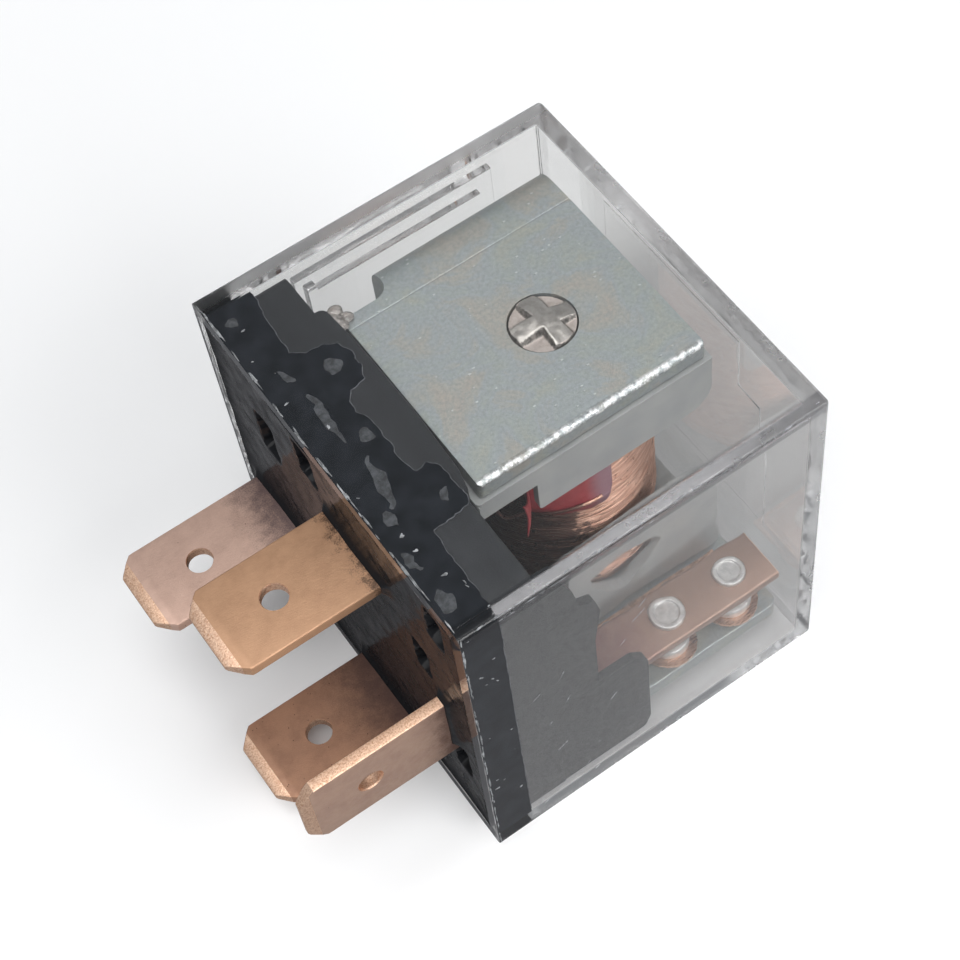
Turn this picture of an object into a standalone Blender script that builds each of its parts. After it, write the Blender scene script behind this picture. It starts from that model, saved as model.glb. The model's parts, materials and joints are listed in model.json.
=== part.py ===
"""Clear-cased automotive plug-in relay with four blades and one normally open contact pair.

Frame, in metres: the origin is the centre of the seating face, which the blades leave along -X. The
body runs along +X to the closed end of the cover. +Z is the yoke's flat side and -Y the contact side.
The coil's axis is parallel to Z, and the armature lies across its lower end, hinged on the yoke's leg.
"""

import math

import bmesh
import bpy
from mathutils import Matrix, Vector

MM = 0.001

# Case
BODY_WIDTH = 28.0 * MM
BODY_LENGTH = 25.0 * MM
WALL = 1.0 * MM
CASE_EDGE = 0.5 * MM
CAVITY_EDGE = 0.25 * MM
GUIDE_PAD = ((5.9 * MM, 12.4 * MM, -9.0 * MM), (20.2 * MM, 13.4 * MM, 12.0 * MM))

# Clearances
FIT = 0.10 * MM
SLIDE = 0.05 * MM

# Potting and base
POTTING_DEPTH = 2.45 * MM
BASE_FLOOR = (2.55 * MM, 5.6 * MM)
BASE_STEP_X = 6.1 * MM
BASE_STEP_TOP_Y = 9.6 * MM
CHEEK_INNER_Y = -12.25 * MM
CHEEK_SHORT_X = 8.7 * MM
CHEEK_LONG_X = 12.3 * MM
CHEEK_SPLIT_Z = -2.2 * MM
CHEEK_TOP_Z = 8.0 * MM
CHEEK_BOTTOM_Z = -12.35 * MM
LEDGE_TOP_Z = -12.2 * MM

# Blades
BLADE_WIDTH = 6.3 * MM
BLADE_THICKNESS = 0.8 * MM
BLADE_HOLE_RADIUS = 0.85 * MM
BLADE_SHOULDER = 1.0 * MM
BLADE_END_X = -0.25 * MM
ROOT_STEP = 0.05 * MM
POST_WIDTH = 1.2 * MM
POST_END_X = 8.3 * MM
POST_Y = -3.4 * MM

# Magnet frame
STEEL = 1.5 * MM
PLATE_TOP_Z = 12.0 * MM
PLATE_X = (6.7 * MM, 22.5 * MM)
PLATE_NEAR_Y = -5.85 * MM
LEG_OUTER_Y = 10.9 * MM
LEG_START_X = 10.2 * MM
LEG_BOTTOM_Z = -9.5 * MM
BEND_OUTER = 2.4 * MM
BEND_INNER = BEND_OUTER - STEEL

# Coil
COIL_X = 15.95 * MM
COIL_Y = 1.05 * MM
CORE_RADIUS = 3.0 * MM
NECK_RADIUS = 2.05 * MM
TUBE_RADIUS = 3.8 * MM
WINDING_RADIUS = 6.25 * MM
FLANGE_X = (6.3 * MM, 22.9 * MM)
FLANGE_Y = (-6.05 * MM, 8.6 * MM)
FLANGE_THICKNESS = 1.15 * MM
UPPER_FLANGE_TOP_Z = 10.4 * MM
LOWER_FLANGE_BOTTOM_Z = -9.3 * MM
SKIRT_INNER_Y = -5.5 * MM
SKIRT_STEP_X = 10.3 * MM
SKIRT_SHORT_Z = 8.75 * MM
SKIRT_LONG_Z = 6.05 * MM
SKIRT_CORNER = 1.6 * MM
APRON_X = 11.2 * MM
APRON_TOP_Z = (-1.9 * MM, -1.2 * MM)
TAPE_THICKNESS = 0.12 * MM
TAPE_ARC = (math.radians(-230.0), math.radians(-94.0))
TAPE_BOTTOM_Z = 0.9 * MM
LEAD_RADIUS = 0.15 * MM

# Contacts
STRIP_TOP_Z = -6.0 * MM
STRIP_Y = (-11.85 * MM, -8.15 * MM)
STRIP_END_X = 23.25 * MM
CONTACT_X = (15.8 * MM, 20.7 * MM)
CONTACT_Y = -9.95 * MM
CONTACT_RADIUS = 1.4 * MM
CONTACT_HEAD = 0.85 * MM
RIVET_RADIUS = 1.05 * MM
RIVET_HEAD = 0.3 * MM

# Armature: drawn closed against the pole, then let down about the hinge to its rest position
HINGE_Y = LEG_OUTER_Y
HINGE_Z = LEG_BOTTOM_Z
OPEN_ANGLE = math.radians(2.2)
ARMATURE_X = (9.2 * MM, 23.5 * MM)
ARMATURE_NEAR_Y = -11.6 * MM
ARMATURE_HEEL_Y = 11.3 * MM
SPRING_THICKNESS = 0.25 * MM
SPRING_LIFT = 0.7 * MM
SPRING_ROOT_Y = (-8.15 * MM, -6.2 * MM)
LOBE_RADIUS = 1.9 * MM
LEAF_THICKNESS = 0.2 * MM
LEAF_X = (13.0 * MM, 19.0 * MM)
LEAF_TOP_Z = -5.2 * MM
LEAF_TIP_Y = 4.0 * MM

SMALL_RIVET = 0.5 * MM
SMALL_HEAD = 0.8 * MM
SEGMENTS = 32


def clear_scene():
    for obj in list(bpy.data.objects):
        bpy.data.objects.remove(obj)


def material(name, colour, roughness, metallic=0.0, alpha=1.0):
    made = bpy.data.materials.new(name)
    made.use_nodes = True
    shader = made.node_tree.nodes["Principled BSDF"]
    shader.inputs["Base Color"].default_value = (*colour, 1.0)
    shader.inputs["Roughness"].default_value = roughness
    shader.inputs["Metallic"].default_value = metallic
    shader.inputs["Alpha"].default_value = alpha
    return made


def piece(name, mesh, finish, parent=None, smooth=False):
    obj = bpy.data.objects.new(name, mesh)
    bpy.context.scene.collection.objects.link(obj)
    mesh.materials.append(finish)
    if smooth:
        mesh.shade_smooth()
        mesh.set_sharp_from_angle(angle=math.radians(35.0))
    if parent:
        obj.parent = parent
    return obj


def mesh_of(bm, name):
    bmesh.ops.recalc_face_normals(bm, faces=bm.faces)
    mesh = bpy.data.meshes.new(name)
    bm.to_mesh(mesh)
    bm.free()
    return mesh


def block_mesh(low, high, edge=0.0, steps=2):
    """A box from its lowest to its highest corner, with all its edges rounded if edge is given."""
    bm = bmesh.new()
    centre = (Vector(low) + Vector(high)) / 2
    size = Vector(high) - Vector(low)
    place = Matrix.Translation(centre) @ Matrix.Diagonal((*size, 1.0))
    bmesh.ops.create_cube(bm, size=1.0, matrix=place)
    if edge:
        bmesh.ops.bevel(bm, geom=list(bm.edges), offset=edge, segments=steps, profile=0.5, affect="EDGES")
    return mesh_of(bm, "block")


def prism_mesh(outline, axis, low, high):
    """A flat outline extruded along X, Y or Z; its points are the other two coordinates in order."""
    bm = bmesh.new()
    slot = "XYZ".index(axis)
    corners = []
    for a, b in outline:
        point = [a, b]
        point.insert(slot, low)
        corners.append(bm.verts.new(point))
    face = bm.faces.new(corners)
    raised = bmesh.ops.extrude_face_region(bm, geom=[face])["geom"]
    shift = [0.0, 0.0, 0.0]
    shift[slot] = high - low
    moved = [item for item in raised if isinstance(item, bmesh.types.BMVert)]
    bmesh.ops.translate(bm, verts=moved, vec=shift)
    return mesh_of(bm, "prism")


def rounded(corners, radii, steps=4):
    """The closed outline through these corners, each replaced by an arc of its own radius."""
    points = []
    count = len(corners)
    for index, corner in enumerate(corners):
        here = Vector(corner)
        before = Vector(corners[index - 1]) - here
        after = Vector(corners[(index + 1) % count]) - here
        radius = radii[index] if isinstance(radii, (list, tuple)) else radii
        if not radius:
            points.append(tuple(here))
            continue
        half = before.angle(after) / 2
        middle = (before.normalized() + after.normalized()).normalized()
        centre = here + middle * (radius / math.sin(half))
        reach = radius / math.tan(half)
        start = here + before.normalized() * reach - centre
        end = here + after.normalized() * reach - centre
        sweep = start.angle_signed(end)
        for step in range(steps + 1):
            turn = -sweep * step / steps
            spun = (
                start.x * math.cos(turn) - start.y * math.sin(turn),
                start.x * math.sin(turn) + start.y * math.cos(turn),
            )
            points.append((centre.x + spun[0], centre.y + spun[1]))
    return points


def rectangle(low, high):
    return [(low[0], low[1]), (high[0], low[1]), (high[0], high[1]), (low[0], high[1])]


def turned_mesh(profile, centre, segments=SEGMENTS):
    """A ring or rod about a vertical axis; profile is (radius, z) pairs, closed on itself."""
    bm = bmesh.new()
    rings = []
    for radius, z in profile:
        if radius < 1e-9:
            rings.append([bm.verts.new((centre[0], centre[1], z))])
            continue
        ring = []
        for step in range(segments):
            turn = 2 * math.pi * step / segments
            x = centre[0] + radius * math.cos(turn)
            y = centre[1] + radius * math.sin(turn)
            ring.append(bm.verts.new((x, y, z)))
        rings.append(ring)
    pairs = list(zip(rings, rings[1:] + rings[:1]))
    for lower, upper in pairs:
        if len(lower) == 1 and len(upper) == 1:
            continue
        for step in range(segments):
            after = (step + 1) % segments
            corners = [lower[step % len(lower)], lower[after % len(lower)]]
            corners += [upper[after % len(upper)], upper[step % len(upper)]]
            unique = list(dict.fromkeys(corners))
            bm.faces.new(unique)
    return mesh_of(bm, "turned")


def rod_mesh(centre, axis, low, high, radius, segments=SEGMENTS):
    """A solid cylinder along X, Y or Z; centre holds the other two coordinates in order."""
    circle = []
    for step in range(segments):
        turn = 2 * math.pi * step / segments
        circle.append((centre[0] + radius * math.cos(turn), centre[1] + radius * math.sin(turn)))
    return prism_mesh(circle, axis, low, high)


def rivet_mesh(centre, axis, levels):
    """A rivet along Y or Z: levels are (place, radius) pairs from one end to the other."""
    profile = [(0.0, levels[0][0])]
    profile += [(radius, place) for place, radius in levels]
    profile += [(0.0, levels[-1][0])]
    mesh = turned_mesh(profile, (0.0, 0.0), segments=24)
    if axis == "Y":
        mesh.transform(Matrix.Rotation(math.radians(-90.0), 4, "X"))
        mesh.transform(Matrix.Translation((centre[0], 0.0, centre[1])))
    else:
        mesh.transform(Matrix.Translation((centre[0], centre[1], 0.0)))
    return mesh


def combine(target, mesh, operation):
    """Cuts a helper solid out of the target, or joins it on, with an exact Boolean."""
    helper = bpy.data.objects.new(f"{target.name}_{operation.lower()}", mesh)
    bpy.context.scene.collection.objects.link(helper)
    helper.hide_render = True
    helper.display_type = "WIRE"
    helper.parent = target.parent
    modifier = target.modifiers.new(operation.title(), "BOOLEAN")
    modifier.operation = operation
    modifier.solver = "EXACT"
    modifier.object = helper


def cut(target, mesh):
    combine(target, mesh, "DIFFERENCE")


def join(target, mesh):
    combine(target, mesh, "UNION")


def case_outline(inset, radius):
    half = BODY_WIDTH / 2 - inset
    return rounded(rectangle((-half, -half), (half, half)), radius, 3)


def make_cover(finish):
    """The clear shell: one open-ended box, with the pad on its far wall that guides the coil in."""
    half = BODY_WIDTH / 2
    shell = piece("cover", rounded_case_mesh(half), finish)
    inner = half - WALL
    low = (-2 * WALL, -inner, -inner)
    high = (BODY_LENGTH - WALL, inner, inner)
    cut(shell, block_mesh(low, high, CAVITY_EDGE, 2))
    join(shell, block_mesh(*GUIDE_PAD))
    return shell


def rounded_case_mesh(half):
    """The case's outer form: square at the open rim, with its other edges slightly rounded."""
    bm = bmesh.new()
    size = Matrix.Diagonal((BODY_LENGTH, 2 * half, 2 * half, 1.0))
    bmesh.ops.create_cube(bm, size=1.0, matrix=Matrix.Translation((BODY_LENGTH / 2, 0, 0)) @ size)
    edges = [e for e in bm.edges if max(v.co.x for v in e.verts) > BODY_LENGTH / 2]
    bmesh.ops.bevel(bm, geom=edges, offset=CASE_EDGE, segments=2, profile=0.5, affect="EDGES")
    return mesh_of(bm, "case")


def blade_slots(low_x, high_x):
    """Cutters for the places where the four blades pass through."""
    slots = []
    for centre_y, centre_z, upright in BLADES.values():
        across = BLADE_WIDTH / 2 + FIT
        through = BLADE_THICKNESS / 2 + FIT
        reach_y, reach_z = (through, across) if upright else (across, through)
        low = (low_x, centre_y - reach_y, centre_z - reach_z)
        high = (high_x, centre_y + reach_y, centre_z + reach_z)
        slots.append(block_mesh(low, high))
    return slots


def make_potting(finish):
    outline = case_outline(WALL + FIT, CAVITY_EDGE)
    seal = piece("potting_seal", prism_mesh(outline, "X", 0.0, POTTING_DEPTH), finish)
    for slot in blade_slots(-WALL, POTTING_DEPTH + WALL):
        cut(seal, slot)
    return seal


def make_base(finish):
    inner = BODY_WIDTH / 2 - WALL - FIT
    outline = case_outline(WALL + FIT, CAVITY_EDGE)
    body = piece("base", prism_mesh(outline, "X", *BASE_FLOOR), finish)
    step = rounded(
        rectangle((-inner + FIT, -inner + FIT), (BASE_STEP_TOP_Y, inner - 4 * FIT)),
        [CAVITY_EDGE, 0.0, 0.0, CAVITY_EDGE],
        3,
    )
    join(body, prism_mesh(step, "X", BASE_FLOOR[0] + WALL, BASE_STEP_X))
    corners = [
        (BASE_FLOOR[0] + WALL, CHEEK_BOTTOM_Z),
        (CHEEK_LONG_X, CHEEK_BOTTOM_Z),
        (CHEEK_LONG_X, CHEEK_SPLIT_Z),
        (CHEEK_SHORT_X, CHEEK_SPLIT_Z),
        (CHEEK_SHORT_X, CHEEK_TOP_Z),
        (BASE_FLOOR[0] + WALL, CHEEK_TOP_Z),
    ]
    radii = [0.0, 0.8 * MM, 0.9 * MM, 0.4 * MM, 0.8 * MM, 0.0]
    join(body, prism_mesh(rounded(corners, radii), "Y", -inner + 2 * FIT, CHEEK_INNER_Y))
    ledge_low = (BASE_FLOOR[0] + WALL, CHEEK_BOTTOM_Z, -inner + 2 * FIT)
    join(body, block_mesh(ledge_low, (CHEEK_LONG_X - 2 * FIT, -9.0 * MM, LEDGE_TOP_Z)))
    for slot in blade_slots(BASE_FLOOR[0] - WALL, BASE_STEP_X + WALL):
        cut(body, slot)
    return body


def blade_outline(tip_x, end_x):
    """Length by width of one blade, with the corners of its tip cut off."""
    half = BLADE_WIDTH / 2
    return [
        (tip_x, -half + BLADE_SHOULDER),
        (tip_x + BLADE_SHOULDER, -half),
        (end_x, -half),
        (end_x, half),
        (tip_x + BLADE_SHOULDER, half),
        (tip_x, half - BLADE_SHOULDER),
    ]


def blade_mesh(name):
    """A straight blade in its place, lying flat or, for the load terminal on the near side, upright."""
    centre_y, centre_z, upright = BLADES[name]
    along, across = ("Y", centre_z) if upright else ("Z", centre_y)
    outline = [(x, across + width) for x, width in blade_outline(BLADE_TIP[name], BLADE_END_X)]
    middle = centre_y if upright else centre_z
    return prism_mesh(outline, along, middle - BLADE_THICKNESS / 2, middle + BLADE_THICKNESS / 2)


def root_mesh(name):
    """The slightly thinner root that carries a blade through the potting and the base."""
    centre_y, centre_z, upright = BLADES[name]
    across = BLADE_WIDTH / 2 - ROOT_STEP
    through = BLADE_THICKNESS / 2 - ROOT_STEP
    reach_y, reach_z = (through, across) if upright else (across, through)
    low = (BLADE_END_X - BLADE_THICKNESS, centre_y - reach_y, centre_z - reach_z)
    high = (BASE_STEP_X - WALL, centre_y + reach_y, centre_z + reach_z)
    return block_mesh(low, high)


def hole_mesh(name):
    centre_y, centre_z, upright = BLADES[name]
    along, across = ("Y", centre_z) if upright else ("Z", centre_y)
    middle = centre_y if upright else centre_z
    hole = (BLADE_HOLE_X[name], across)
    return rod_mesh(hole, along, middle - BLADE_THICKNESS, middle + BLADE_THICKNESS, BLADE_HOLE_RADIUS, 24)


def ribbon_mesh(stations):
    """A strip lofted through sections (x, y, z, width, angle); angle 0 lays its width along Y."""
    bm = bmesh.new()
    rings = []
    for x, y, z, width, angle in stations:
        along = Vector((0.0, math.cos(angle), math.sin(angle))) * (width / 2)
        through = Vector((0.0, -math.sin(angle), math.cos(angle))) * (BLADE_THICKNESS / 2)
        centre = Vector((x, y, z))
        signs = ((-1, -1), (1, -1), (1, 1), (-1, 1))
        rings.append([bm.verts.new(centre + along * a + through * b) for a, b in signs])
    for first, second in zip(rings, rings[1:]):
        for index in range(4):
            after = (index + 1) % 4
            bm.faces.new((first[index], first[after], second[after], second[index]))
    bm.faces.new(rings[0])
    bm.faces.new(rings[-1])
    return mesh_of(bm, "ribbon")


def twist(start, end, turn_from, turn_to, steps=12):
    """Stations that ease one section into another between two places along X."""
    stations = [start]
    for step in range(steps + 1):
        share = step / steps
        ease = share * share * (3.0 - 2.0 * share)
        x = turn_from + (turn_to - turn_from) * share
        mixed = [a + (b - a) * ease for a, b in zip(start[1:], end[1:])]
        stations.append((x, *mixed))
    stations.append(end)
    return stations


def make_load_terminal(finish):
    """The upright blade, which turns flat inside the case and becomes the fixed contact strip."""
    name = "terminal_87"
    centre_y, centre_z, _ = BLADES[name]
    blade = piece(name, blade_mesh(name), finish)
    join(blade, root_mesh(name))
    width = STRIP_Y[1] - STRIP_Y[0]
    middle_y = (STRIP_Y[0] + STRIP_Y[1]) / 2
    middle_z = STRIP_TOP_Z - BLADE_THICKNESS / 2
    quarter = math.radians(90.0)
    start = (BASE_FLOOR[0], centre_y, centre_z, BLADE_WIDTH - 4 * SLIDE, quarter)
    end = (STRIP_END_X, middle_y, middle_z, width, 0.0)
    join(blade, ribbon_mesh(twist(start, end, BASE_STEP_X, CHEEK_LONG_X - 1.6 * MM)))
    cut(blade, hole_mesh(name))
    for x in CONTACT_X:
        cut(blade, rod_mesh((x, CONTACT_Y), "Z", middle_z - WALL, middle_z + WALL, RIVET_RADIUS - FIT, 24))
    return blade


def make_supply_terminal(finish):
    """The far blade, which turns upright inside the case and is riveted to the yoke's leg."""
    name = "terminal_30"
    centre_y, centre_z, _ = BLADES[name]
    blade = piece(name, blade_mesh(name), finish)
    join(blade, root_mesh(name))
    tongue_y = LEG_OUTER_Y + SLIDE + BLADE_THICKNESS / 2
    start = (BASE_FLOOR[0], centre_y, centre_z, BLADE_WIDTH - 4 * SLIDE, 0.0)
    end = (TONGUE_END_X, tongue_y, TONGUE_Z, TONGUE_WIDTH, math.radians(90.0))
    join(blade, ribbon_mesh(twist(start, end, BASE_STEP_X, LEG_START_X - SLIDE)))
    cut(blade, hole_mesh(name))
    for x in TONGUE_RIVETS_X:
        hole = rod_mesh((x, TONGUE_Z), "Y", tongue_y - WALL, tongue_y + WALL, SMALL_RIVET + SLIDE, 24)
        cut(blade, hole)
    return blade


def make_coil_terminal(name, finish):
    """A flat blade that ends in a narrow post inside the case, for the end of the winding."""
    blade = piece(name, blade_mesh(name), finish)
    join(blade, root_mesh(name))
    _, centre_z, _ = BLADES[name]
    half = BLADE_THICKNESS / 2 - 2 * SLIDE
    low = (BASE_FLOOR[0], POST_Y - POST_WIDTH / 2, centre_z - half)
    join(blade, block_mesh(low, (POST_END_X, POST_Y + POST_WIDTH / 2, centre_z + half)))
    cut(blade, hole_mesh(name))
    return blade


def yoke_profile():
    """The bent steel's section, in Y and Z: a flat plate and a leg down its far side."""
    top = PLATE_TOP_Z
    corners = [
        (PLATE_NEAR_Y, top),
        (LEG_OUTER_Y, top),
        (LEG_OUTER_Y, LEG_BOTTOM_Z),
        (LEG_OUTER_Y - STEEL, LEG_BOTTOM_Z),
        (LEG_OUTER_Y - STEEL, top - STEEL),
        (PLATE_NEAR_Y, top - STEEL),
    ]
    radii = [0.25 * MM, BEND_OUTER, 0.0, 0.0, BEND_INNER, 0.15 * MM]
    return rounded(corners, radii, 6)


def make_yoke(finish):
    frame = piece("yoke", prism_mesh(yoke_profile(), "X", *PLATE_X), finish, smooth=True)
    notch = rounded(
        [
            (PLATE_X[0] - WALL, LEG_OUTER_Y - BEND_OUTER),
            (LEG_START_X, LEG_OUTER_Y - BEND_OUTER),
            (LEG_START_X, LEG_OUTER_Y + WALL),
            (PLATE_X[0] - WALL, LEG_OUTER_Y + WALL),
        ],
        [0.0, 0.6 * MM, 0.0, 0.0],
    )
    cut(frame, prism_mesh(notch, "Z", LEG_BOTTOM_Z - WALL, PLATE_TOP_Z + WALL))
    bore = NECK_RADIUS + SLIDE
    cut(frame, rod_mesh((COIL_X, COIL_Y), "Z", PLATE_TOP_Z - 2 * STEEL, PLATE_TOP_Z + WALL, bore))
    for x, z in [(x, TONGUE_Z) for x in TONGUE_RIVETS_X] + [(x, LEAF_RIVET_Z) for x in LEAF_RIVETS_X]:
        hole = rod_mesh((x, z), "Y", LEG_OUTER_Y - 2 * STEEL, LEG_OUTER_Y + WALL, SMALL_RIVET + SLIDE, 24)
        cut(frame, hole)
    return frame


def make_core(finish):
    """The iron core: its lower end is the pole face, and its neck is staked over the plate."""
    shoulder = PLATE_TOP_Z - STEEL - SLIDE
    profile = [
        (0.0, LEG_BOTTOM_Z),
        (CORE_RADIUS, LEG_BOTTOM_Z),
        (CORE_RADIUS, shoulder),
        (NECK_RADIUS, shoulder),
        (NECK_RADIUS, PLATE_TOP_Z + FIT),
        (0.0, PLATE_TOP_Z + FIT),
    ]
    return piece("core", turned_mesh(profile, (COIL_X, COIL_Y)), finish, smooth=True)


def flange_mesh(low_x, low_z, corner):
    outline = rounded(
        rectangle((low_x, FLANGE_Y[0]), (FLANGE_X[1], FLANGE_Y[1])),
        [corner / 2, 0.0, corner, corner / 2],
    )
    return prism_mesh(outline, "Z", low_z, low_z + FLANGE_THICKNESS)


def make_bobbin(finish):
    """The moulded spool: two flanges on a tube, and on the near side a stepped skirt and an apron."""
    upper_bottom = UPPER_FLANGE_TOP_Z - FLANGE_THICKNESS
    spool = piece("bobbin", flange_mesh(FLANGE_X[0], upper_bottom, 1.2 * MM), finish)
    bottom = LOWER_FLANGE_BOTTOM_Z
    join(spool, rod_mesh((COIL_X, COIL_Y), "Z", bottom + FIT, upper_bottom + FIT, TUBE_RADIUS))
    join(spool, flange_mesh(COIL_X - WINDING_RADIUS - WALL, bottom, 1.2 * MM))
    join(spool, prism_mesh(skirt_outline(), "Y", FLANGE_Y[0] + SLIDE, SKIRT_INNER_Y))
    join(spool, prism_mesh(apron_outline(), "Y", FLANGE_Y[0] + SLIDE, SKIRT_INNER_Y))
    bore = CORE_RADIUS + SLIDE
    cut(spool, rod_mesh((COIL_X, COIL_Y), "Z", bottom - WALL, UPPER_FLANGE_TOP_Z + WALL, bore))
    return spool


def skirt_outline():
    """The wall that hangs from the upper flange: short beside the terminals and long over the coil."""
    top = UPPER_FLANGE_TOP_Z - 2 * FIT
    start = FLANGE_X[0] + FIT
    end = FLANGE_X[1] - FIT
    corners = [
        (start, top),
        (start, SKIRT_SHORT_Z),
        (SKIRT_STEP_X, SKIRT_SHORT_Z),
        (SKIRT_STEP_X, SKIRT_LONG_Z),
        (end, SKIRT_LONG_Z),
        (end, top),
    ]
    return rounded(corners, [0.0, 0.0, 0.0, 0.0, SKIRT_CORNER, 0.0])


def apron_outline():
    """The wall that stands on the lower flange in front of the coil."""
    bottom = LOWER_FLANGE_BOTTOM_Z + 2 * FIT
    end = FLANGE_X[1] - FIT
    corners = [(APRON_X, bottom), (APRON_X, APRON_TOP_Z[0]), (end, APRON_TOP_Z[1]), (end, bottom)]
    return rounded(corners, [0.0, 0.4 * MM, SKIRT_CORNER, 0.0])


def make_winding(finish):
    low = LOWER_FLANGE_BOTTOM_Z + FLANGE_THICKNESS + SLIDE
    high = UPPER_FLANGE_TOP_Z - FLANGE_THICKNESS - SLIDE
    inner = TUBE_RADIUS + SLIDE
    crown = 0.2 * MM
    profile = [
        (inner, low),
        (WINDING_RADIUS - crown, low),
        (WINDING_RADIUS, low + 2 * crown),
        (WINDING_RADIUS, high - 2 * crown),
        (WINDING_RADIUS - crown, high),
        (inner, high),
    ]
    return piece("winding", turned_mesh(profile, (COIL_X, COIL_Y), 48), finish, smooth=True)


def make_tape(finish):
    """A band of insulating tape round part of the winding, under the skirt."""
    inner = WINDING_RADIUS + SLIDE
    outer = inner + TAPE_THICKNESS
    steps = 28
    turns = [TAPE_ARC[0] + (TAPE_ARC[1] - TAPE_ARC[0]) * step / steps for step in range(steps + 1)]
    outline = [(COIL_X + outer * math.cos(turn), COIL_Y + outer * math.sin(turn)) for turn in turns]
    outline += [
        (COIL_X + inner * math.cos(turn), COIL_Y + inner * math.sin(turn)) for turn in reversed(turns)
    ]
    high = UPPER_FLANGE_TOP_Z - FLANGE_THICKNESS - 2 * SLIDE
    return piece("insulating_tape", prism_mesh(outline, "Z", TAPE_BOTTOM_Z, high), finish, smooth=True)


def make_lead(name, points, finish):
    """One end of the winding's wire, on its way to a terminal post."""
    curve = bpy.data.curves.new(name, "CURVE")
    curve.dimensions = "3D"
    curve.bevel_depth = LEAD_RADIUS
    curve.bevel_resolution = 1
    curve.use_fill_caps = True
    spline = curve.splines.new("BEZIER")
    spline.resolution_u = 5
    spline.bezier_points.add(len(points) - 1)
    for knot, point in zip(spline.bezier_points, points):
        knot.co = point
        knot.handle_left_type = "AUTO"
        knot.handle_right_type = "AUTO"
    curve.materials.append(finish)
    lead = bpy.data.objects.new(name, curve)
    bpy.context.scene.collection.objects.link(lead)
    return lead


def make_leads(finish):
    angle = math.radians(-146.0)
    reach = WINDING_RADIUS + 0.45 * MM
    start = (COIL_X + reach * math.cos(angle), COIL_Y + reach * math.sin(angle))
    above = BLADE_THICKNESS / 2 + LEAD_RADIUS
    upper_z = BLADES["terminal_86"][1] - above
    lower_z = BLADES["terminal_85"][1] + above
    upper = [(*start, 0.3 * MM), (9.2 * MM, -3.4 * MM, 3.2 * MM), (POST_END_X - FIT, POST_Y, upper_z)]
    lower = [
        (*start, -6.6 * MM),
        (8.3 * MM, -3.3 * MM, -7.8 * MM),
        (8.1 * MM, POST_Y, -9.3 * MM),
        (POST_END_X - 6 * FIT, POST_Y, lower_z),
    ]
    make_lead("coil_lead_start", upper, finish)
    make_lead("coil_lead_end", lower, finish)


def make_fixed_contact(name, x, finish):
    """A silver-faced rivet: its contact head hangs under the strip and its tail is set on top."""
    under = STRIP_TOP_Z - BLADE_THICKNESS - SLIDE
    over = STRIP_TOP_Z + SLIDE
    shank = RIVET_RADIUS - FIT - SLIDE
    levels = [
        (under - CONTACT_HEAD, CONTACT_RADIUS - 2 * FIT),
        (under - CONTACT_HEAD + 2 * FIT, CONTACT_RADIUS),
        (under, CONTACT_RADIUS),
        (under, shank),
        (over, shank),
        (over, RIVET_RADIUS),
        (over + RIVET_HEAD, RIVET_RADIUS),
    ]
    return piece(name, rivet_mesh((x, CONTACT_Y), "Z", levels), finish, smooth=True)


def closed_contact_top():
    """Height of the moving contacts when the armature is closed: just under the fixed ones."""
    return STRIP_TOP_Z - BLADE_THICKNESS - SLIDE - CONTACT_HEAD - SLIDE


def make_hinge():
    """The empty on the hinge line, at the foot of the yoke's leg, that carries all that swings."""
    hinge = bpy.data.objects.new("armature_hinge", None)
    bpy.context.scene.collection.objects.link(hinge)
    hinge.location = (0.0, HINGE_Y, HINGE_Z)
    return hinge


def on_hinge(name, mesh, finish, hinge, smooth=False):
    """Moves a mesh drawn in the closed position into the hinge's own frame."""
    mesh.transform(Matrix.Translation(-hinge.location))
    return piece(name, mesh, finish, hinge, smooth)


def hinge_cut(target, mesh, hinge):
    mesh.transform(Matrix.Translation(-hinge.location))
    cut(target, mesh)


def armature_top():
    return LEG_BOTTOM_Z - FIT


def make_armature(finish, hinge):
    top = armature_top()
    outline = rounded(
        rectangle((ARMATURE_X[0], ARMATURE_NEAR_Y), (ARMATURE_X[1], ARMATURE_HEEL_Y)),
        0.4 * MM,
        2,
    )
    plate = on_hinge("armature", prism_mesh(outline, "Z", top - STEEL, top), finish, hinge)
    holes = [(x, SPRING_RIVET_Y) for x in SPRING_RIVETS_X] + [(x, LEAF_FOOT_Y) for x in LEAF_RIVETS_X]
    for centre in holes:
        hole = rod_mesh(centre, "Z", top - 2 * STEEL, top + WALL, SMALL_RIVET + SLIDE, 24)
        hinge_cut(plate, hole, hinge)
    return plate


def spring_profile():
    """Side view of the contact spring, in Y and Z: riveted flat, then lifted to the contacts."""
    low = armature_top() + SLIDE
    high = low + SPRING_LIFT
    thick = SPRING_THICKNESS
    ramp = (SPRING_ROOT_Y[0], SPRING_ROOT_Y[0] - 0.5 * MM)
    tip = CONTACT_Y - LOBE_RADIUS
    return [
        (SPRING_ROOT_Y[1], low),
        (ramp[0], low),
        (ramp[1], high),
        (tip, high),
        (tip, high + thick),
        (ramp[1] + thick / 3, high + thick),
        (ramp[0] + thick / 3, low + thick),
        (SPRING_ROOT_Y[1], low + thick),
    ]


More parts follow.
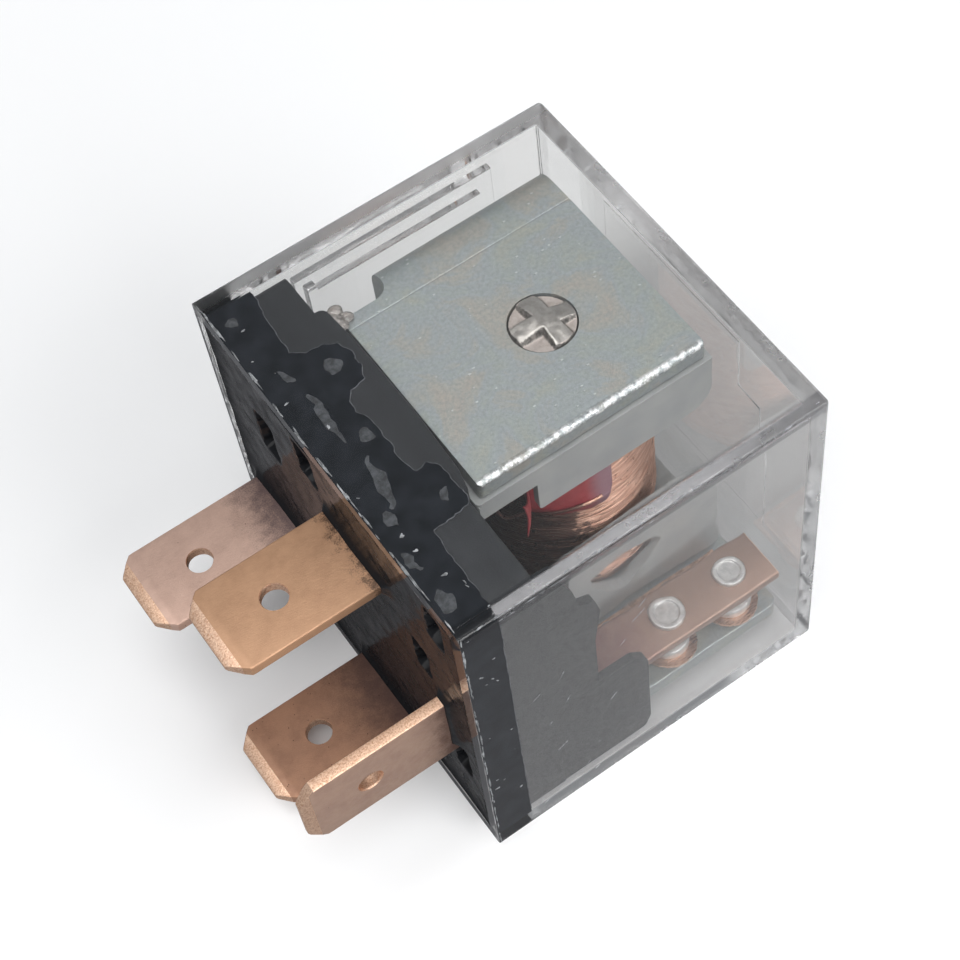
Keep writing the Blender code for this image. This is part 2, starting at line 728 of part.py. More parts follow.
def make_contact_spring(finish, hinge):
    """The copper spring: one riveted root and two round-ended fingers, one for each contact."""
    low_x = CONTACT_X[0] - LOBE_RADIUS - 2.0 * MM
    high_x = CONTACT_X[1] + LOBE_RADIUS
    spring = on_hinge("contact_spring", prism_mesh(spring_profile(), "X", low_x, high_x), finish, hinge)
    tip = CONTACT_Y - LOBE_RADIUS - WALL
    root = SPRING_ROOT_Y[0] + 0.2 * MM
    low_z = armature_top() - WALL
    high_z = low_z + 4 * WALL
    edges = [low_x - WALL]
    for x in CONTACT_X:
        edges += [x - LOBE_RADIUS, x + LOBE_RADIUS]
    edges.append(high_x + WALL)
    for left, right in zip(edges[0::2], edges[1::2]):
        if right - left < SLIDE:
            continue
        hinge_cut(spring, block_mesh((left, tip, low_z), (right, root, high_z)), hinge)
    for x in CONTACT_X:
        hinge_cut(spring, lobe_trim_mesh(x, low_z, high_z), hinge)
        hole = rod_mesh((x, CONTACT_Y), "Z", low_z, high_z, SMALL_RIVET + SLIDE, 24)
        hinge_cut(spring, hole, hinge)
    for x in SPRING_RIVETS_X:
        hole = rod_mesh((x, SPRING_RIVET_Y), "Z", low_z, high_z, SMALL_RIVET + SLIDE, 24)
        hinge_cut(spring, hole, hinge)
    return spring


def lobe_trim_mesh(x, low_z, high_z):
    """What is cut away to leave a finger of the contact spring with a round end."""
    steps = 12
    arc = []
    for step in range(steps + 1):
        turn = math.pi + math.pi * step / steps
        arc.append((x + LOBE_RADIUS * math.cos(turn), CONTACT_Y + LOBE_RADIUS * math.sin(turn)))
    outer = LOBE_RADIUS + 0.4 * MM
    far = CONTACT_Y - LOBE_RADIUS - WALL
    outline = [(x - outer, CONTACT_Y), *arc, (x + outer, CONTACT_Y), (x + outer, far), (x - outer, far)]
    return prism_mesh(outline, "Z", low_z, high_z)


def make_moving_contact(name, x, finish, hinge):
    top = closed_contact_top()
    spring_top = armature_top() + SLIDE + SPRING_LIFT + SPRING_THICKNESS
    levels = [
        (spring_top - SPRING_THICKNESS - 2 * SLIDE - 0.25 * MM, SMALL_HEAD),
        (spring_top - SPRING_THICKNESS - 2 * SLIDE, SMALL_HEAD),
        (spring_top - SPRING_THICKNESS - 2 * SLIDE, SMALL_RIVET),
        (spring_top + SLIDE, SMALL_RIVET),
        (spring_top + SLIDE, CONTACT_RADIUS),
        (top - 2 * FIT, CONTACT_RADIUS),
        (top, CONTACT_RADIUS - 2 * FIT),
    ]
    return on_hinge(name, rivet_mesh((x, CONTACT_Y), "Z", levels), finish, hinge, True)


def plain_rivet(low, high):
    """Levels of a rivet that holds two sheets between low and high, with a head on each side."""
    head = 0.3 * MM
    return [
        (low - SLIDE - head, SMALL_HEAD - 2 * FIT),
        (low - SLIDE - head / 2, SMALL_HEAD),
        (low - SLIDE, SMALL_HEAD),
        (low - SLIDE, SMALL_RIVET),
        (high + SLIDE, SMALL_RIVET),
        (high + SLIDE, SMALL_HEAD),
        (high + SLIDE + head / 2, SMALL_HEAD),
        (high + SLIDE + head, SMALL_HEAD - 2 * FIT),
    ]


def make_spring_rivets(finish, hinge):
    low = armature_top() - STEEL
    high = armature_top() + SLIDE + SPRING_THICKNESS
    for number, x in enumerate(SPRING_RIVETS_X, 1):
        mesh = rivet_mesh((x, SPRING_RIVET_Y), "Z", plain_rivet(low, high))
        on_hinge(f"spring_rivet_{number}", mesh, finish, hinge, True)


def make_yoke_rivets(finish):
    """Rivets through the leg: two hold the supply terminal's tongue and two the return spring."""
    inner = LEG_OUTER_Y - STEEL
    tongue = LEG_OUTER_Y + SLIDE + BLADE_THICKNESS
    for number, x in enumerate(TONGUE_RIVETS_X, 1):
        mesh = rivet_mesh((x, TONGUE_Z), "Y", plain_rivet(inner, tongue))
        piece(f"terminal_rivet_{number}", mesh, finish, smooth=True)
    leaf = LEG_OUTER_Y + SLIDE + LEAF_THICKNESS
    for number, x in enumerate(LEAF_RIVETS_X, 1):
        mesh = rivet_mesh((x, LEAF_RIVET_Z), "Y", plain_rivet(inner, leaf))
        piece(f"leaf_rivet_{number}", mesh, finish, smooth=True)


def leaf_profile():
    """Side view of the return spring: down the leg, round the armature's heel and back under it."""
    inner_y = LEG_OUTER_Y + SLIDE
    bulge = 0.55 * MM
    under = armature_top() - STEEL - LEAF_DROP
    line = [
        (inner_y, LEAF_TOP_Z),
        (inner_y, LEG_BOTTOM_Z + 1.2 * MM),
        (inner_y + bulge, LEG_BOTTOM_Z + 0.3 * MM),
        (inner_y + bulge, under + 0.6 * MM),
        (inner_y - 0.3 * MM, under),
        (LEAF_TIP_Y, under),
    ]
    outer = [
        (line[0][0] + LEAF_THICKNESS, line[0][1]),
        (line[1][0] + LEAF_THICKNESS, line[1][1]),
        (line[2][0] + LEAF_THICKNESS, line[2][1]),
        (line[3][0] + LEAF_THICKNESS, line[3][1] - 0.1 * MM),
        (line[4][0] + 0.1 * MM, line[4][1] - LEAF_THICKNESS),
        (line[5][0], line[5][1] - LEAF_THICKNESS),
    ]
    return line + outer[::-1]


def make_return_spring(finish):
    leaf = piece("return_spring", prism_mesh(leaf_profile(), "X", *LEAF_X), finish)
    for x in LEAF_RIVETS_X:
        hole = rod_mesh((x, LEAF_RIVET_Z), "Y", LEG_OUTER_Y - WALL, LEG_OUTER_Y + WALL, SMALL_RIVET + SLIDE, 24)
        cut(leaf, hole)
        foot = armature_top() - STEEL - LEAF_DROP
        relief = rod_mesh((x, LEAF_FOOT_Y), "Z", foot - WALL, foot + WALL, SMALL_HEAD + FIT, 24)
        cut(leaf, relief)
    return leaf


def make_heel_rivets(finish, hinge):
    """Rivets that hold the return spring's foot to the armature."""
    low = armature_top() - STEEL - SLIDE
    high = armature_top() - 0.35 * MM
    for number, x in enumerate(LEAF_RIVETS_X, 1):
        levels = [
            (low - 0.5 * MM, SMALL_HEAD - 2 * FIT),
            (low - 0.35 * MM, SMALL_HEAD),
            (low, SMALL_HEAD),
            (low, SMALL_RIVET),
            (high, SMALL_RIVET),
        ]
        mesh = rivet_mesh((x, LEAF_FOOT_Y), "Z", levels)
        on_hinge(f"heel_rivet_{number}", mesh, finish, hinge, True)


# Blade places: centre along Y, centre along Z, and whether the blade stands upright
BLADES = {
    "terminal_30": (8.80 * MM, -3.20 * MM, False),
    "terminal_86": (-2.00 * MM, 7.00 * MM, False),
    "terminal_85": (-1.90 * MM, -11.30 * MM, False),
    "terminal_87": (-10.10 * MM, -2.50 * MM, True),
}
BLADE_TIP = {
    "terminal_30": -10.9 * MM,
    "terminal_86": -10.0 * MM,
    "terminal_85": -10.1 * MM,
    "terminal_87": -10.4 * MM,
}
BLADE_HOLE_X = {
    "terminal_30": -6.2 * MM,
    "terminal_86": -5.5 * MM,
    "terminal_85": -5.45 * MM,
    "terminal_87": -5.45 * MM,
}

# Rivet places
TONGUE_Z = -2.2 * MM
TONGUE_WIDTH = 4.6 * MM
TONGUE_END_X = 20.0 * MM
TONGUE_RIVETS_X = (12.6 * MM, 17.6 * MM)
LEAF_RIVETS_X = (14.4 * MM, 17.6 * MM)
LEAF_RIVET_Z = -6.5 * MM
LEAF_FOOT_Y = 6.0 * MM
LEAF_DROP = 0.55 * MM
SPRING_RIVETS_X = (13.4 * MM, 18.2 * MM)
SPRING_RIVET_Y = -7.25 * MM


def main():
    clear_scene()
    clear = material("clear_polycarbonate", (0.80, 0.82, 0.83), 0.08, alpha=0.35)
    black = material("black_moulding", (0.045, 0.048, 0.052), 0.55)
    epoxy = material("black_epoxy", (0.012, 0.013, 0.016), 0.15)
    copper = material("terminal_copper", (0.55, 0.34, 0.22), 0.38, 1.0)
    zinc = material("zinc_plate", (0.62, 0.66, 0.66), 0.35, 1.0)
    iron = material("soft_iron", (0.45, 0.44, 0.42), 0.40, 1.0)
    nylon = material("white_nylon", (0.78, 0.79, 0.78), 0.50)
    wire = material("enamelled_wire", (0.62, 0.36, 0.24), 0.35, 1.0)
    red = material("red_tape", (0.45, 0.07, 0.07), 0.45)
    silver = material("contact_silver", (0.80, 0.79, 0.77), 0.30, 1.0)
    bronze = material("spring_bronze", (0.66, 0.40, 0.28), 0.33, 1.0)

    make_cover(clear)
    make_potting(epoxy)
    make_base(black)
    make_supply_terminal(copper)
    make_load_terminal(copper)
    make_coil_terminal("terminal_86", copper)
    make_coil_terminal("terminal_85", copper)
    make_yoke(zinc)
    make_core(iron)
    make_bobbin(nylon)
    make_winding(wire)
    make_tape(red)
    make_leads(wire)
    for number, x in enumerate(CONTACT_X, 1):
        make_fixed_contact(f"fixed_contact_{number}", x, silver)

    hinge = make_hinge()
    make_armature(zinc, hinge)
    make_contact_spring(bronze, hinge)
    for number, x in enumerate(CONTACT_X, 1):
        make_moving_contact(f"moving_contact_{number}", x, silver, hinge)
    make_spring_rivets(iron, hinge)
    make_heel_rivets(iron, hinge)
    hinge.rotation_euler.x = OPEN_ANGLE
    make_return_spring(bronze)
    make_yoke_rivets(iron)


main()
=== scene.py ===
import json
import math
import random

import bmesh
import bpy
from mathutils import Matrix, Vector, noise


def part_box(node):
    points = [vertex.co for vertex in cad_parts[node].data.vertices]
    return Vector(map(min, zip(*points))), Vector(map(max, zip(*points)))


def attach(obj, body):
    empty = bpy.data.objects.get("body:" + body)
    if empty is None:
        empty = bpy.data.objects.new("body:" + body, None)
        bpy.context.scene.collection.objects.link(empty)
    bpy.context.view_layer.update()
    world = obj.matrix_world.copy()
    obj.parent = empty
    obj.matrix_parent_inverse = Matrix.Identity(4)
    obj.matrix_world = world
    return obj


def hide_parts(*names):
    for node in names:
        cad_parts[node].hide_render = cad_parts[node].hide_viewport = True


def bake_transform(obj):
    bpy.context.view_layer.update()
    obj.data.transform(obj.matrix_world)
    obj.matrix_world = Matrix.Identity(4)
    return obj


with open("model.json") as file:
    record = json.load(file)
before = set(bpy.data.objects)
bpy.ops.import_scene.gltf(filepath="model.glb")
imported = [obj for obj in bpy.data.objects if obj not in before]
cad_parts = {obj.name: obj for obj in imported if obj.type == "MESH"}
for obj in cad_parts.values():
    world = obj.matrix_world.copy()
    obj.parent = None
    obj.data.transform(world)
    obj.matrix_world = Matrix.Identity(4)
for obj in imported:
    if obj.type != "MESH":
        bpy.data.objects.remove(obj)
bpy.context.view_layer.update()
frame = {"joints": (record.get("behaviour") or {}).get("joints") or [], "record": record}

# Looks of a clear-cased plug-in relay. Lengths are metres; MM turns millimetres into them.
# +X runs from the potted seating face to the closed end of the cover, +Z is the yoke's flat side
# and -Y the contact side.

MM = 0.001
RANDOM = random.Random(41)
noise.seed_set(41)  # noise_vector follows the clock without a seed


def cad(node):
    """A CAD node's lowest and highest corner, in millimetres."""
    low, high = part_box(node)
    return low / MM, high / MM


def middle(node):
    """The centre of a CAD node's box, in millimetres."""
    low, high = cad(node)
    return (low + high) / 2


MOUNTS = {mount["name"]: Vector(mount["pos_m"]) / MM for mount in frame["record"]["mounts"]}
COVER_LOW, COVER_HIGH = cad("cover")
HALF = COVER_HIGH.y
LENGTH = COVER_HIGH.x
WALL = 1.0
INNER = HALF - WALL
BASE_LOW, BASE_HIGH = cad("base")
SEAL_HIGH = cad("potting_seal")[1]
YOKE_LOW, YOKE_HIGH = cad("yoke")
CORE_LOW, CORE_HIGH = cad("core")
BOBBIN_LOW, BOBBIN_HIGH = cad("bobbin")
WINDING_LOW, WINDING_HIGH = cad("winding")
ARMATURE_LOW, ARMATURE_HIGH = cad("armature")
COIL = (CORE_LOW + CORE_HIGH) / 2
HINGE = Vector(frame["joints"][0]["pos_m"]) / MM
STEEL = 1.5
BEND_LINE_Y = 7.55
BLADE_THICKNESS = 0.8
BLADE_WIDTH = 6.3
OPEN_ANGLE = math.radians(frame["joints"][0]["range_deg"][1])
BEVEL = 0.75  # length of a blade's coined tip
HOLE_FROM_TIP = 4.6
EDGE_ROLL = 0.12  # radius of a blade's die-rolled corners
FOLD_FROM = 5.6  # X where the bent blades start to twist
STRIP_WIDTH = 3.65
TONGUE_WIDTH = 4.6
SKIRT_THICKNESS = 0.55
WIRE = 0.095  # radius
FLANGE = 1.15
ARMATURE_TOP = HINGE.z - 0.1
SPRING_LIFT = 0.7
SPRING_THICKNESS = 0.25
CONTACT_Y = -9.95
STAKE_RADIUS = 2.12
RIM = 0.12  # where the resin starts, behind the open rim
FILM_DEPTH = 2.7
FILM_THICKNESS = 0.03  # half of it
FILM_PLACE = INNER + 0.02
FLOOR_GAP = 0.06
WINDING_RADIUS = (WINDING_HIGH.x - WINDING_LOW.x) / 2
LEG_RIVETS = ["terminal_rivet_1", "terminal_rivet_2", "leaf_rivet_1", "leaf_rivet_2"]
SPRING_RIVETS = ["spring_rivet_1", "spring_rivet_2"]
HEEL_RIVETS = ["heel_rivet_1", "heel_rivet_2"]

COVER_TINT = (0.92, 0.92, 0.92)
EDGE_HAZE = 0.24
FAR_RIM_HAZE = 0.36
# painted shade: a darker glass colour along the ridge between the near and top faces
RIDGE_PAINTED_SHADE = (0.38, 0.38, 0.40)
FLOOR_MIRRORED = (0.26, 0.26, 0.27)
FLOOR_THROUGH_WALLS = (0.58, 0.575, 0.57)
FLOOR_BEYOND = (0.90, 0.90, 0.89)
LAMP_TINT = (0.90, 0.90, 0.905)


# ---------------------------------------------------------------- mesh helpers (all in millimetres)


def mesh_from(bm, name):
    bmesh.ops.recalc_face_normals(bm, faces=bm.faces)
    bmesh.ops.scale(bm, vec=(MM, MM, MM), verts=bm.verts)
    mesh = bpy.data.meshes.new(name)
    bm.to_mesh(mesh)
    bm.free()
    return mesh


def link(name, data):
    obj = bpy.data.objects.new(name, data)
    bpy.context.scene.collection.objects.link(obj)
    return obj


def shade(obj, angle):
    """Smooth shading that breaks at edges over an angle in degrees."""
    obj.data.shade_smooth()
    obj.data.set_sharp_from_angle(angle=math.radians(angle))
    return obj


def make(name, bm, materials, replaces=(), body="case", angle=40.0):
    """Links a mesh as a piece, shades it, ties it to its body, and hides the CAD it stands for."""
    obj = link(name, mesh_from(bm, name))
    for finish in materials if isinstance(materials, list) else [materials]:
        obj.data.materials.append(finish)
    if angle:
        shade(obj, angle)
    if body:
        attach(obj, body)
    if replaces:
        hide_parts(*replaces)
    return obj


def soften(obj, width, segments=3, angle=40.0):
    """Rounds an object's sharp edges by a width in millimetres, and keeps its flat faces flat."""
    bevel = obj.modifiers.new("Bevel", "BEVEL")
    bevel.width = width * MM
    bevel.segments = segments
    bevel.limit_method = "ANGLE"
    bevel.angle_limit = math.radians(angle)
    bevel.use_clamp_overlap = True
    bevel.harden_normals = True
    return obj


def bake(obj):
    """Applies an object's modifiers to its mesh."""
    bpy.context.view_layer.update()
    graph = bpy.context.evaluated_depsgraph_get()
    applied = bpy.data.meshes.new_from_object(obj.evaluated_get(graph))
    old = obj.data
    obj.modifiers.clear()
    obj.data = applied
    bpy.data.meshes.remove(old)
    return obj


def carve(obj, bm, operation="DIFFERENCE"):
    """Cuts a shape out of an object, or joins it on, and applies the result."""
    helper = link("helper", mesh_from(bm, "helper"))
    boolean = obj.modifiers.new("Boolean", "BOOLEAN")
    boolean.operation = operation
    boolean.solver = "EXACT"
    boolean.object = helper
    bake(obj)
    mesh = helper.data
    bpy.data.objects.remove(helper)
    bpy.data.meshes.remove(mesh)
    return obj


def keep_flat(obj, weight=50):
    """Shades an object's flat faces flat after a bevel."""
    normals = obj.modifiers.new("Flat faces", "WEIGHTED_NORMAL")
    normals.weight = weight
    normals.keep_sharp = True


def box(low, high, edge=0.0, steps=3, only=None):
    """A box between two corners, its edges rounded where only(edge) holds."""
    bm = bmesh.new()
    low = Vector(low)
    high = Vector(high)
    size = Matrix.Diagonal((*(high - low), 1.0))
    bmesh.ops.create_cube(bm, size=1.0, matrix=Matrix.Translation((low + high) / 2) @ size)
    if edge:
        edges = [e for e in bm.edges if only is None or only(e)]
        bmesh.ops.bevel(bm, geom=edges, offset=edge, segments=steps, profile=0.5, affect="EDGES")
    return bm


def rounded(corners, radii, steps=6):
    """The closed outline through these corners, each replaced by an arc of its own radius."""
    points = []
    count = len(corners)
    for index, corner in enumerate(corners):
        here = Vector(corner)
        before = (Vector(corners[index - 1]) - here).normalized()
        after = (Vector(corners[(index + 1) % count]) - here).normalized()
        radius = radii[index] if isinstance(radii, (list, tuple)) else radii
        if not radius:
            points.append(tuple(here))
            continue
        half = before.angle(after) / 2
        centre = here + (before + after).normalized() * (radius / math.sin(half))
        reach = radius / math.tan(half)
        start = here + before * reach - centre
        sweep = start.angle_signed(here + after * reach - centre)
        for step in range(steps + 1):
            turn = -sweep * step / steps
            x = start.x * math.cos(turn) - start.y * math.sin(turn)
            y = start.x * math.sin(turn) + start.y * math.cos(turn)
            points.append((centre.x + x, centre.y + y))
    return points


def rectangle(low, high):
    return [(low[0], low[1]), (high[0], low[1]), (high[0], high[1]), (low[0], high[1])]


def circle(centre, radius, steps=32):
    turns = [2 * math.pi * step / steps for step in range(steps)]
    return [(centre[0] + radius * math.cos(t), centre[1] + radius * math.sin(t)) for t in turns]


def prism(outline, axis, low, high):
    """An outline extruded along X, Y or Z; its points are the other two coordinates in order."""
    bm = bmesh.new()
    slot = "XYZ".index(axis)
    rings = []
    for level in (low, high):
        ring = []
        for a, b in outline:
            point = [a, b]
            point.insert(slot, level)
            ring.append(bm.verts.new(point))
        rings.append(ring)
        bm.faces.new(ring)
    for index in range(len(outline)):
        after = (index + 1) % len(outline)
        bm.faces.new((rings[0][index], rings[0][after], rings[1][after], rings[1][index]))
    return bm


def skin(bm, rings, count):
    """Joins rings of vertices into walls; a ring of one vertex is a pole."""
    for lower, upper in zip(rings, rings[1:]):
        for step in range(count):
            after = (step + 1) % count
            corners = [lower[step % len(lower)], lower[after % len(lower)]]
            corners += [upper[after % len(upper)], upper[step % len(upper)]]
            bm.faces.new(list(dict.fromkeys(corners)))


def lathe(profile, centre, axis="Z", steps=48):
    """A solid turned about a line along Z or Y; profile is (radius, level) pairs between two poles."""
    bm = bmesh.new()
    rings = []
    for radius, level in profile:
        ring = []
        for a, b in circle(centre, radius, steps if radius else 1):
            ring.append(bm.verts.new((a, b, level) if axis == "Z" else (a, level, b)))
        rings.append(ring)
    skin(bm, rings, steps)
    return bm


def rod(radius, low, high, centre, axis="Z", steps=20):
    """A plain cylinder, for drilling."""
    return lathe([(0, low), (radius, low), (radius, high), (0, high)], centre, axis, steps)


def loft(rings):
    """Skins a list of rings that all have the same number of points, and closes both ends."""
    bm = bmesh.new()
    made = [[bm.verts.new(point) for point in ring] for ring in rings]
    skin(bm, made, len(rings[0]))
    bm.faces.new(made[0])
    bm.faces.new(made[-1])
    return bm


def tube_rings(path, radius, sides=6):
    """Rings of a round wire along a path of points, with no twist."""
    rings = []
    normal = None
    for index, point in enumerate(path):
        before = path[max(index - 1, 0)]
        after = path[min(index + 1, len(path) - 1)]
        along = (after - before).normalized()
        if normal is None:
            normal = along.orthogonal().normalized()
        normal = (normal - along * normal.dot(along)).normalized()
        side = along.cross(normal)
        ring = []
        for step in range(sides):
            turn = 2 * math.pi * step / sides
            ring.append(point + (normal * math.cos(turn) + side * math.sin(turn)) * radius)
        rings.append(ring)
    return rings


def smooth_path(points, steps=8):
    """A Catmull-Rom curve through points of any dimension."""
    points = [Vector(point) for point in points]
    ends = [points[0] * 2 - points[1], *points, points[-1] * 2 - points[-2]]
    path = []
    for a, b, c, d in zip(ends, ends[1:], ends[2:], ends[3:]):
        for step in range(steps):
            t = step / steps
            square = a * 2 - b * 5 + c * 4 - d
            cube = b * 3 - a - c * 3 + d
            path.append((b * 2 + (c - a) * t + square * t**2 + cube * t**3) / 2)
    path.append(points[-1])
    return path


def join_into(bm, other):
    """Adds another bmesh to this one as a separate shell."""
    spare = bpy.data.meshes.new("spare")
    other.to_mesh(spare)
    other.free()
    bm.from_mesh(spare)
    bpy.data.meshes.remove(spare)
    return bm


# ---------------------------------------------------------------- materials


class Finish:
    """A Principled material and short calls for the nodes that feed it. Textures work in millimetres."""

    def __init__(self, name, colour, roughness, metallic=0.0, **sockets):
        self.material = bpy.data.materials.new(name)
        self.material.use_nodes = True
        self.material.diffuse_color = (*colour, 1.0)
        self.tree = self.material.node_tree
        self.shader = self.tree.nodes["Principled BSDF"]
        self.set("Base Color", (*colour, 1.0))
        self.set("Roughness", roughness)
        self.set("Metallic", metallic)
        for socket, value in sockets.items():
            self.set(socket.replace("_", " "), value)
        where = self.node("ShaderNodeTexCoord", {}, "Object")
        self.place = self.node("ShaderNodeMapping", {"Vector": where, "Scale": (1 / MM, 1 / MM, 1 / MM)}, 0)

    def feed(self, socket, value):
        if isinstance(value, bpy.types.NodeSocket):
            self.tree.links.new(value, socket)
        else:
            socket.default_value = value

    def set(self, socket, value):
        self.feed(self.shader.inputs[socket], value)

    def node(self, kind, inputs, output, **settings):
        made = self.tree.nodes.new(kind)
        for key, value in settings.items():
            setattr(made, key, value)
        for key, value in inputs.items():
            self.feed(made.inputs[key], value)
        return made.outputs[output]

    def stretched(self, scale):
        """The place, with each axis scaled, for grain that runs one way."""
        return self.node("ShaderNodeMapping", {"Vector": self.place, "Scale": scale}, 0)

    def noise(self, scale, detail=3.0, roughness=0.55, distortion=0.0, place=None):
        inputs = {"Vector": place or self.place, "Scale": scale, "Detail": detail}
        inputs |= {"Roughness": roughness, "Distortion": distortion}
        return self.node("ShaderNodeTexNoise", inputs, 0)

    def spots(self, scale, place=None):
        """Distance to the nearest of many scattered points."""
        return self.node("ShaderNodeTexVoronoi", {"Vector": place or self.place, "Scale": scale}, 0)

    def along(self, axis):
        """One coordinate of the place, in millimetres."""
        return self.node("ShaderNodeSeparateXYZ", {"Vector": self.place}, axis)

    def span(self, value, low, high, to_low=0.0, to_high=1.0):
        inputs = {0: value, 1: low, 2: high, 3: to_low, 4: to_high}
        return self.node("ShaderNodeMapRange", inputs, 0, interpolation_type="SMOOTHSTEP")

    def math(self, operation, a, b=0.0):
        return self.node("ShaderNodeMath", {0: a, 1: b}, 0, operation=operation)

    def ramp(self, fac, stops):
        made = self.tree.nodes.new("ShaderNodeValToRGB")
        ramp = made.color_ramp
        while len(ramp.elements) < len(stops):
            ramp.elements.new(0.5)
        for element, (position, colour) in zip(ramp.elements, stops):
            element.position = position
            element.color = (*colour, 1.0)
        self.feed(made.inputs["Fac"], fac)
        return made.outputs["Color"]

    def mix(self, fac, a, b):
        made = self.tree.nodes.new("ShaderNodeMix")
        made.data_type = "RGBA"
        for key, value in (("Factor", fac), ("A", a), ("B", b)):
            socket = next(s for s in made.inputs if s.name == key and s.enabled)
            self.feed(socket, (*value, 1.0) if isinstance(value, tuple) else value)
        return next(s for s in made.outputs if s.enabled)

    def bump(self, height, distance):
        inputs = {"Height": height, "Distance": distance * MM, "Strength": 1.0}
        self.set("Normal", self.node("ShaderNodeBump", inputs, "Normal"))

    def paint(self, noise, low, dark, high, pale):
        """A base colour that drifts from dark to pale as a noise goes from low to high."""
        self.set("Base Color", self.ramp(noise, [(low, dark), (high, pale)]))

    def vary(self, noise, smooth, rough, low=0.3, high=0.7):
        """A roughness that follows a noise."""
        self.set("Roughness", self.span(noise, low, high, smooth, rough))


def clear_plastic():
    """Slightly smoky polycarbonate, abraded along its edges, with painted shade along its near top ridge. Lamps reach
    what is inside it.
    """
    made = Finish("clear_polycarbonate", COVER_TINT, 0.02, IOR=1.56, Transmission_Weight=1.0)
    made.set("Specular IOR Level", 0.2)
    depths = []
    for axis, face in (("X", LENGTH), ("Y", HALF), ("Z", HALF)):
        depths.append(made.math("SUBTRACT", face, made.math("ABSOLUTE", made.along(axis))))
    nearest = [made.math("MAXIMUM", depths[a], depths[b]) for a, b in ((0, 1), (0, 2), (1, 2))]
    nearest = made.math("MINIMUM", made.math("MINIMUM", nearest[0], nearest[1]), nearest[2])
    worn = made.math("ADD", nearest, made.span(made.noise(1.3, 4.0), 0.3, 0.7, -0.25, 0.25))
    worn_edge = made.span(worn, 0.35, 1.15, EDGE_HAZE, 0.0)
    from_near = made.math("ADD", made.along("Y"), HALF)
    from_far = made.math("SUBTRACT", HALF, made.along("Y"))
    from_top = made.math("SUBTRACT", HALF, made.along("Z"))
    # painted shade: the glass darkens within about a millimetre of both the near and the top face
    ridge = made.span(made.math("MAXIMUM", from_near, from_top), 0.9, 1.15, 1.0, 0.0)
    made.set("Base Color", made.mix(ridge, COVER_TINT, RIDGE_PAINTED_SHADE))
    marks = made.span(made.spots(0.9, made.stretched((1.0, 1.0, 3.0))), 0.02, 0.05, 0.02, 0.0)
    made.bump(made.math("ADD", made.noise(0.22, 1.0), marks), 0.02)
    far_rim = made.span(made.math("MAXIMUM", from_far, from_top), 0.6, 1.6, FAR_RIM_HAZE, 0.0)
    haze = made.span(made.noise(0.5, 4.0), 0.35, 0.75, 0.012, 0.05)
    made.set("Roughness", made.math("ADD", haze, made.math("MAXIMUM", worn_edge, far_rim)))
    lamp = made.node("ShaderNodeLightPath", {}, "Is Shadow Ray")
    passing = made.node("ShaderNodeBsdfTransparent", {"Color": (*LAMP_TINT, 1.0)}, 0)
    mixed = made.node("ShaderNodeMixShader", {0: lamp, 1: made.shader.outputs[0], 2: passing}, 0)
    made.tree.links.new(mixed, made.tree.nodes["Material Output"].inputs["Surface"])
    return made.material


PLAIN = {  # name: colour, roughness, metallic, cloud noise, its low and high tones, bump noise and depth
    "wet_epoxy": ((0.010, 0.012, 0.015), 0.6, 0.0, (0.9, 4.0, 0.6), 0.35, (0.008, 0.0095, 0.012),
                  0.75, (0.019, 0.022, 0.027), None, 0.0),
    # bare copper where it was cut, and a painted highlight on the strip's rounded edges and the upright blade's top
    # edge
    "cut_copper_and_glint": ((0.90, 0.60, 0.42), 0.42, 0.8, (9.0, 4.0, 0.7), 0.35, (0.62, 0.33, 0.20),
                   0.6, (0.95, 0.68, 0.50), (7.0, 4.0, 0.7), 0.03),
    "staked_iron": ((0.44, 0.41, 0.38), 0.32, 0.9, (1.6, 5.0, 0.65, 0.5), 0.3, (0.34, 0.32, 0.295),
                    0.7, (0.52, 0.495, 0.46), (2.0, 3.0, 0.6), 0.016),
    "staked_flat": ((0.62, 0.57, 0.54), 0.5, 0.55, (3.0, 4.0, 0.65), 0.35, (0.36, 0.315, 0.285),
                    0.7, (0.50, 0.445, 0.41), (6.0, 3.0, 0.6), 0.01),
    # painted shade: a near-black finish for the staked head's steep walls
    "painted_shade_iron": ((0.13, 0.12, 0.11), 0.45, 0.6, (3.5, 4.0, 0.7), 0.35, (0.06, 0.055, 0.05),
                     0.65, (0.26, 0.24, 0.22), (3.5, 4.0, 0.7), 0.03),
    "white_nylon": ((0.46, 0.48, 0.48), 0.42, 0.0, (0.35, 4.0, 0.55), 0.3, (0.26, 0.27, 0.27),
                    0.75, (0.34, 0.345, 0.335), (3.0, 3.0), 0.008),
    "contact_silver": ((0.84, 0.83, 0.81), 0.34, 0.85, (2.4, 5.0, 0.65, 0.4), 0.3, (0.52, 0.51, 0.50),
                       0.7, (0.78, 0.77, 0.75), (4.0, 4.0, 0.6), 0.02),
    "winding_shadow": ((0.16, 0.07, 0.04), 0.5, 0.6, (3.0,), 0.3, (0.10, 0.04, 0.025),
                       0.7, (0.22, 0.10, 0.06), None, 0.0),
}


def plain(name, sheen=None, **sockets):
    """A finish that drifts between two tones; sheen is a roughness noise's scale and its two ends."""
    colour, roughness, metallic, cloud, low, dark, high, pale, grain, depth = PLAIN[name]
    made = Finish(name, colour, roughness, metallic, **sockets)
    made.paint(made.noise(*cloud), low, dark, high, pale)
    if grain:
        made.bump(made.noise(*grain), depth)
    if sheen:
        scale, smooth, rough = sheen
        made.vary(made.noise(scale, 4.0), smooth, rough)
    return made.material


def white_nylon():
    scatter = {"Subsurface_Radius": (0.0012, 0.0011, 0.0010), "Subsurface_Scale": 0.5}
    return plain("white_nylon", Subsurface_Weight=0.15, **scatter)


def clear_glue():
    made = Finish("clear_glue", (0.62, 0.58, 0.54), 0.12, IOR=1.5, Transmission_Weight=0.8)
    made.bump(made.noise(1.8, 2.0), 0.15)
    return made.material


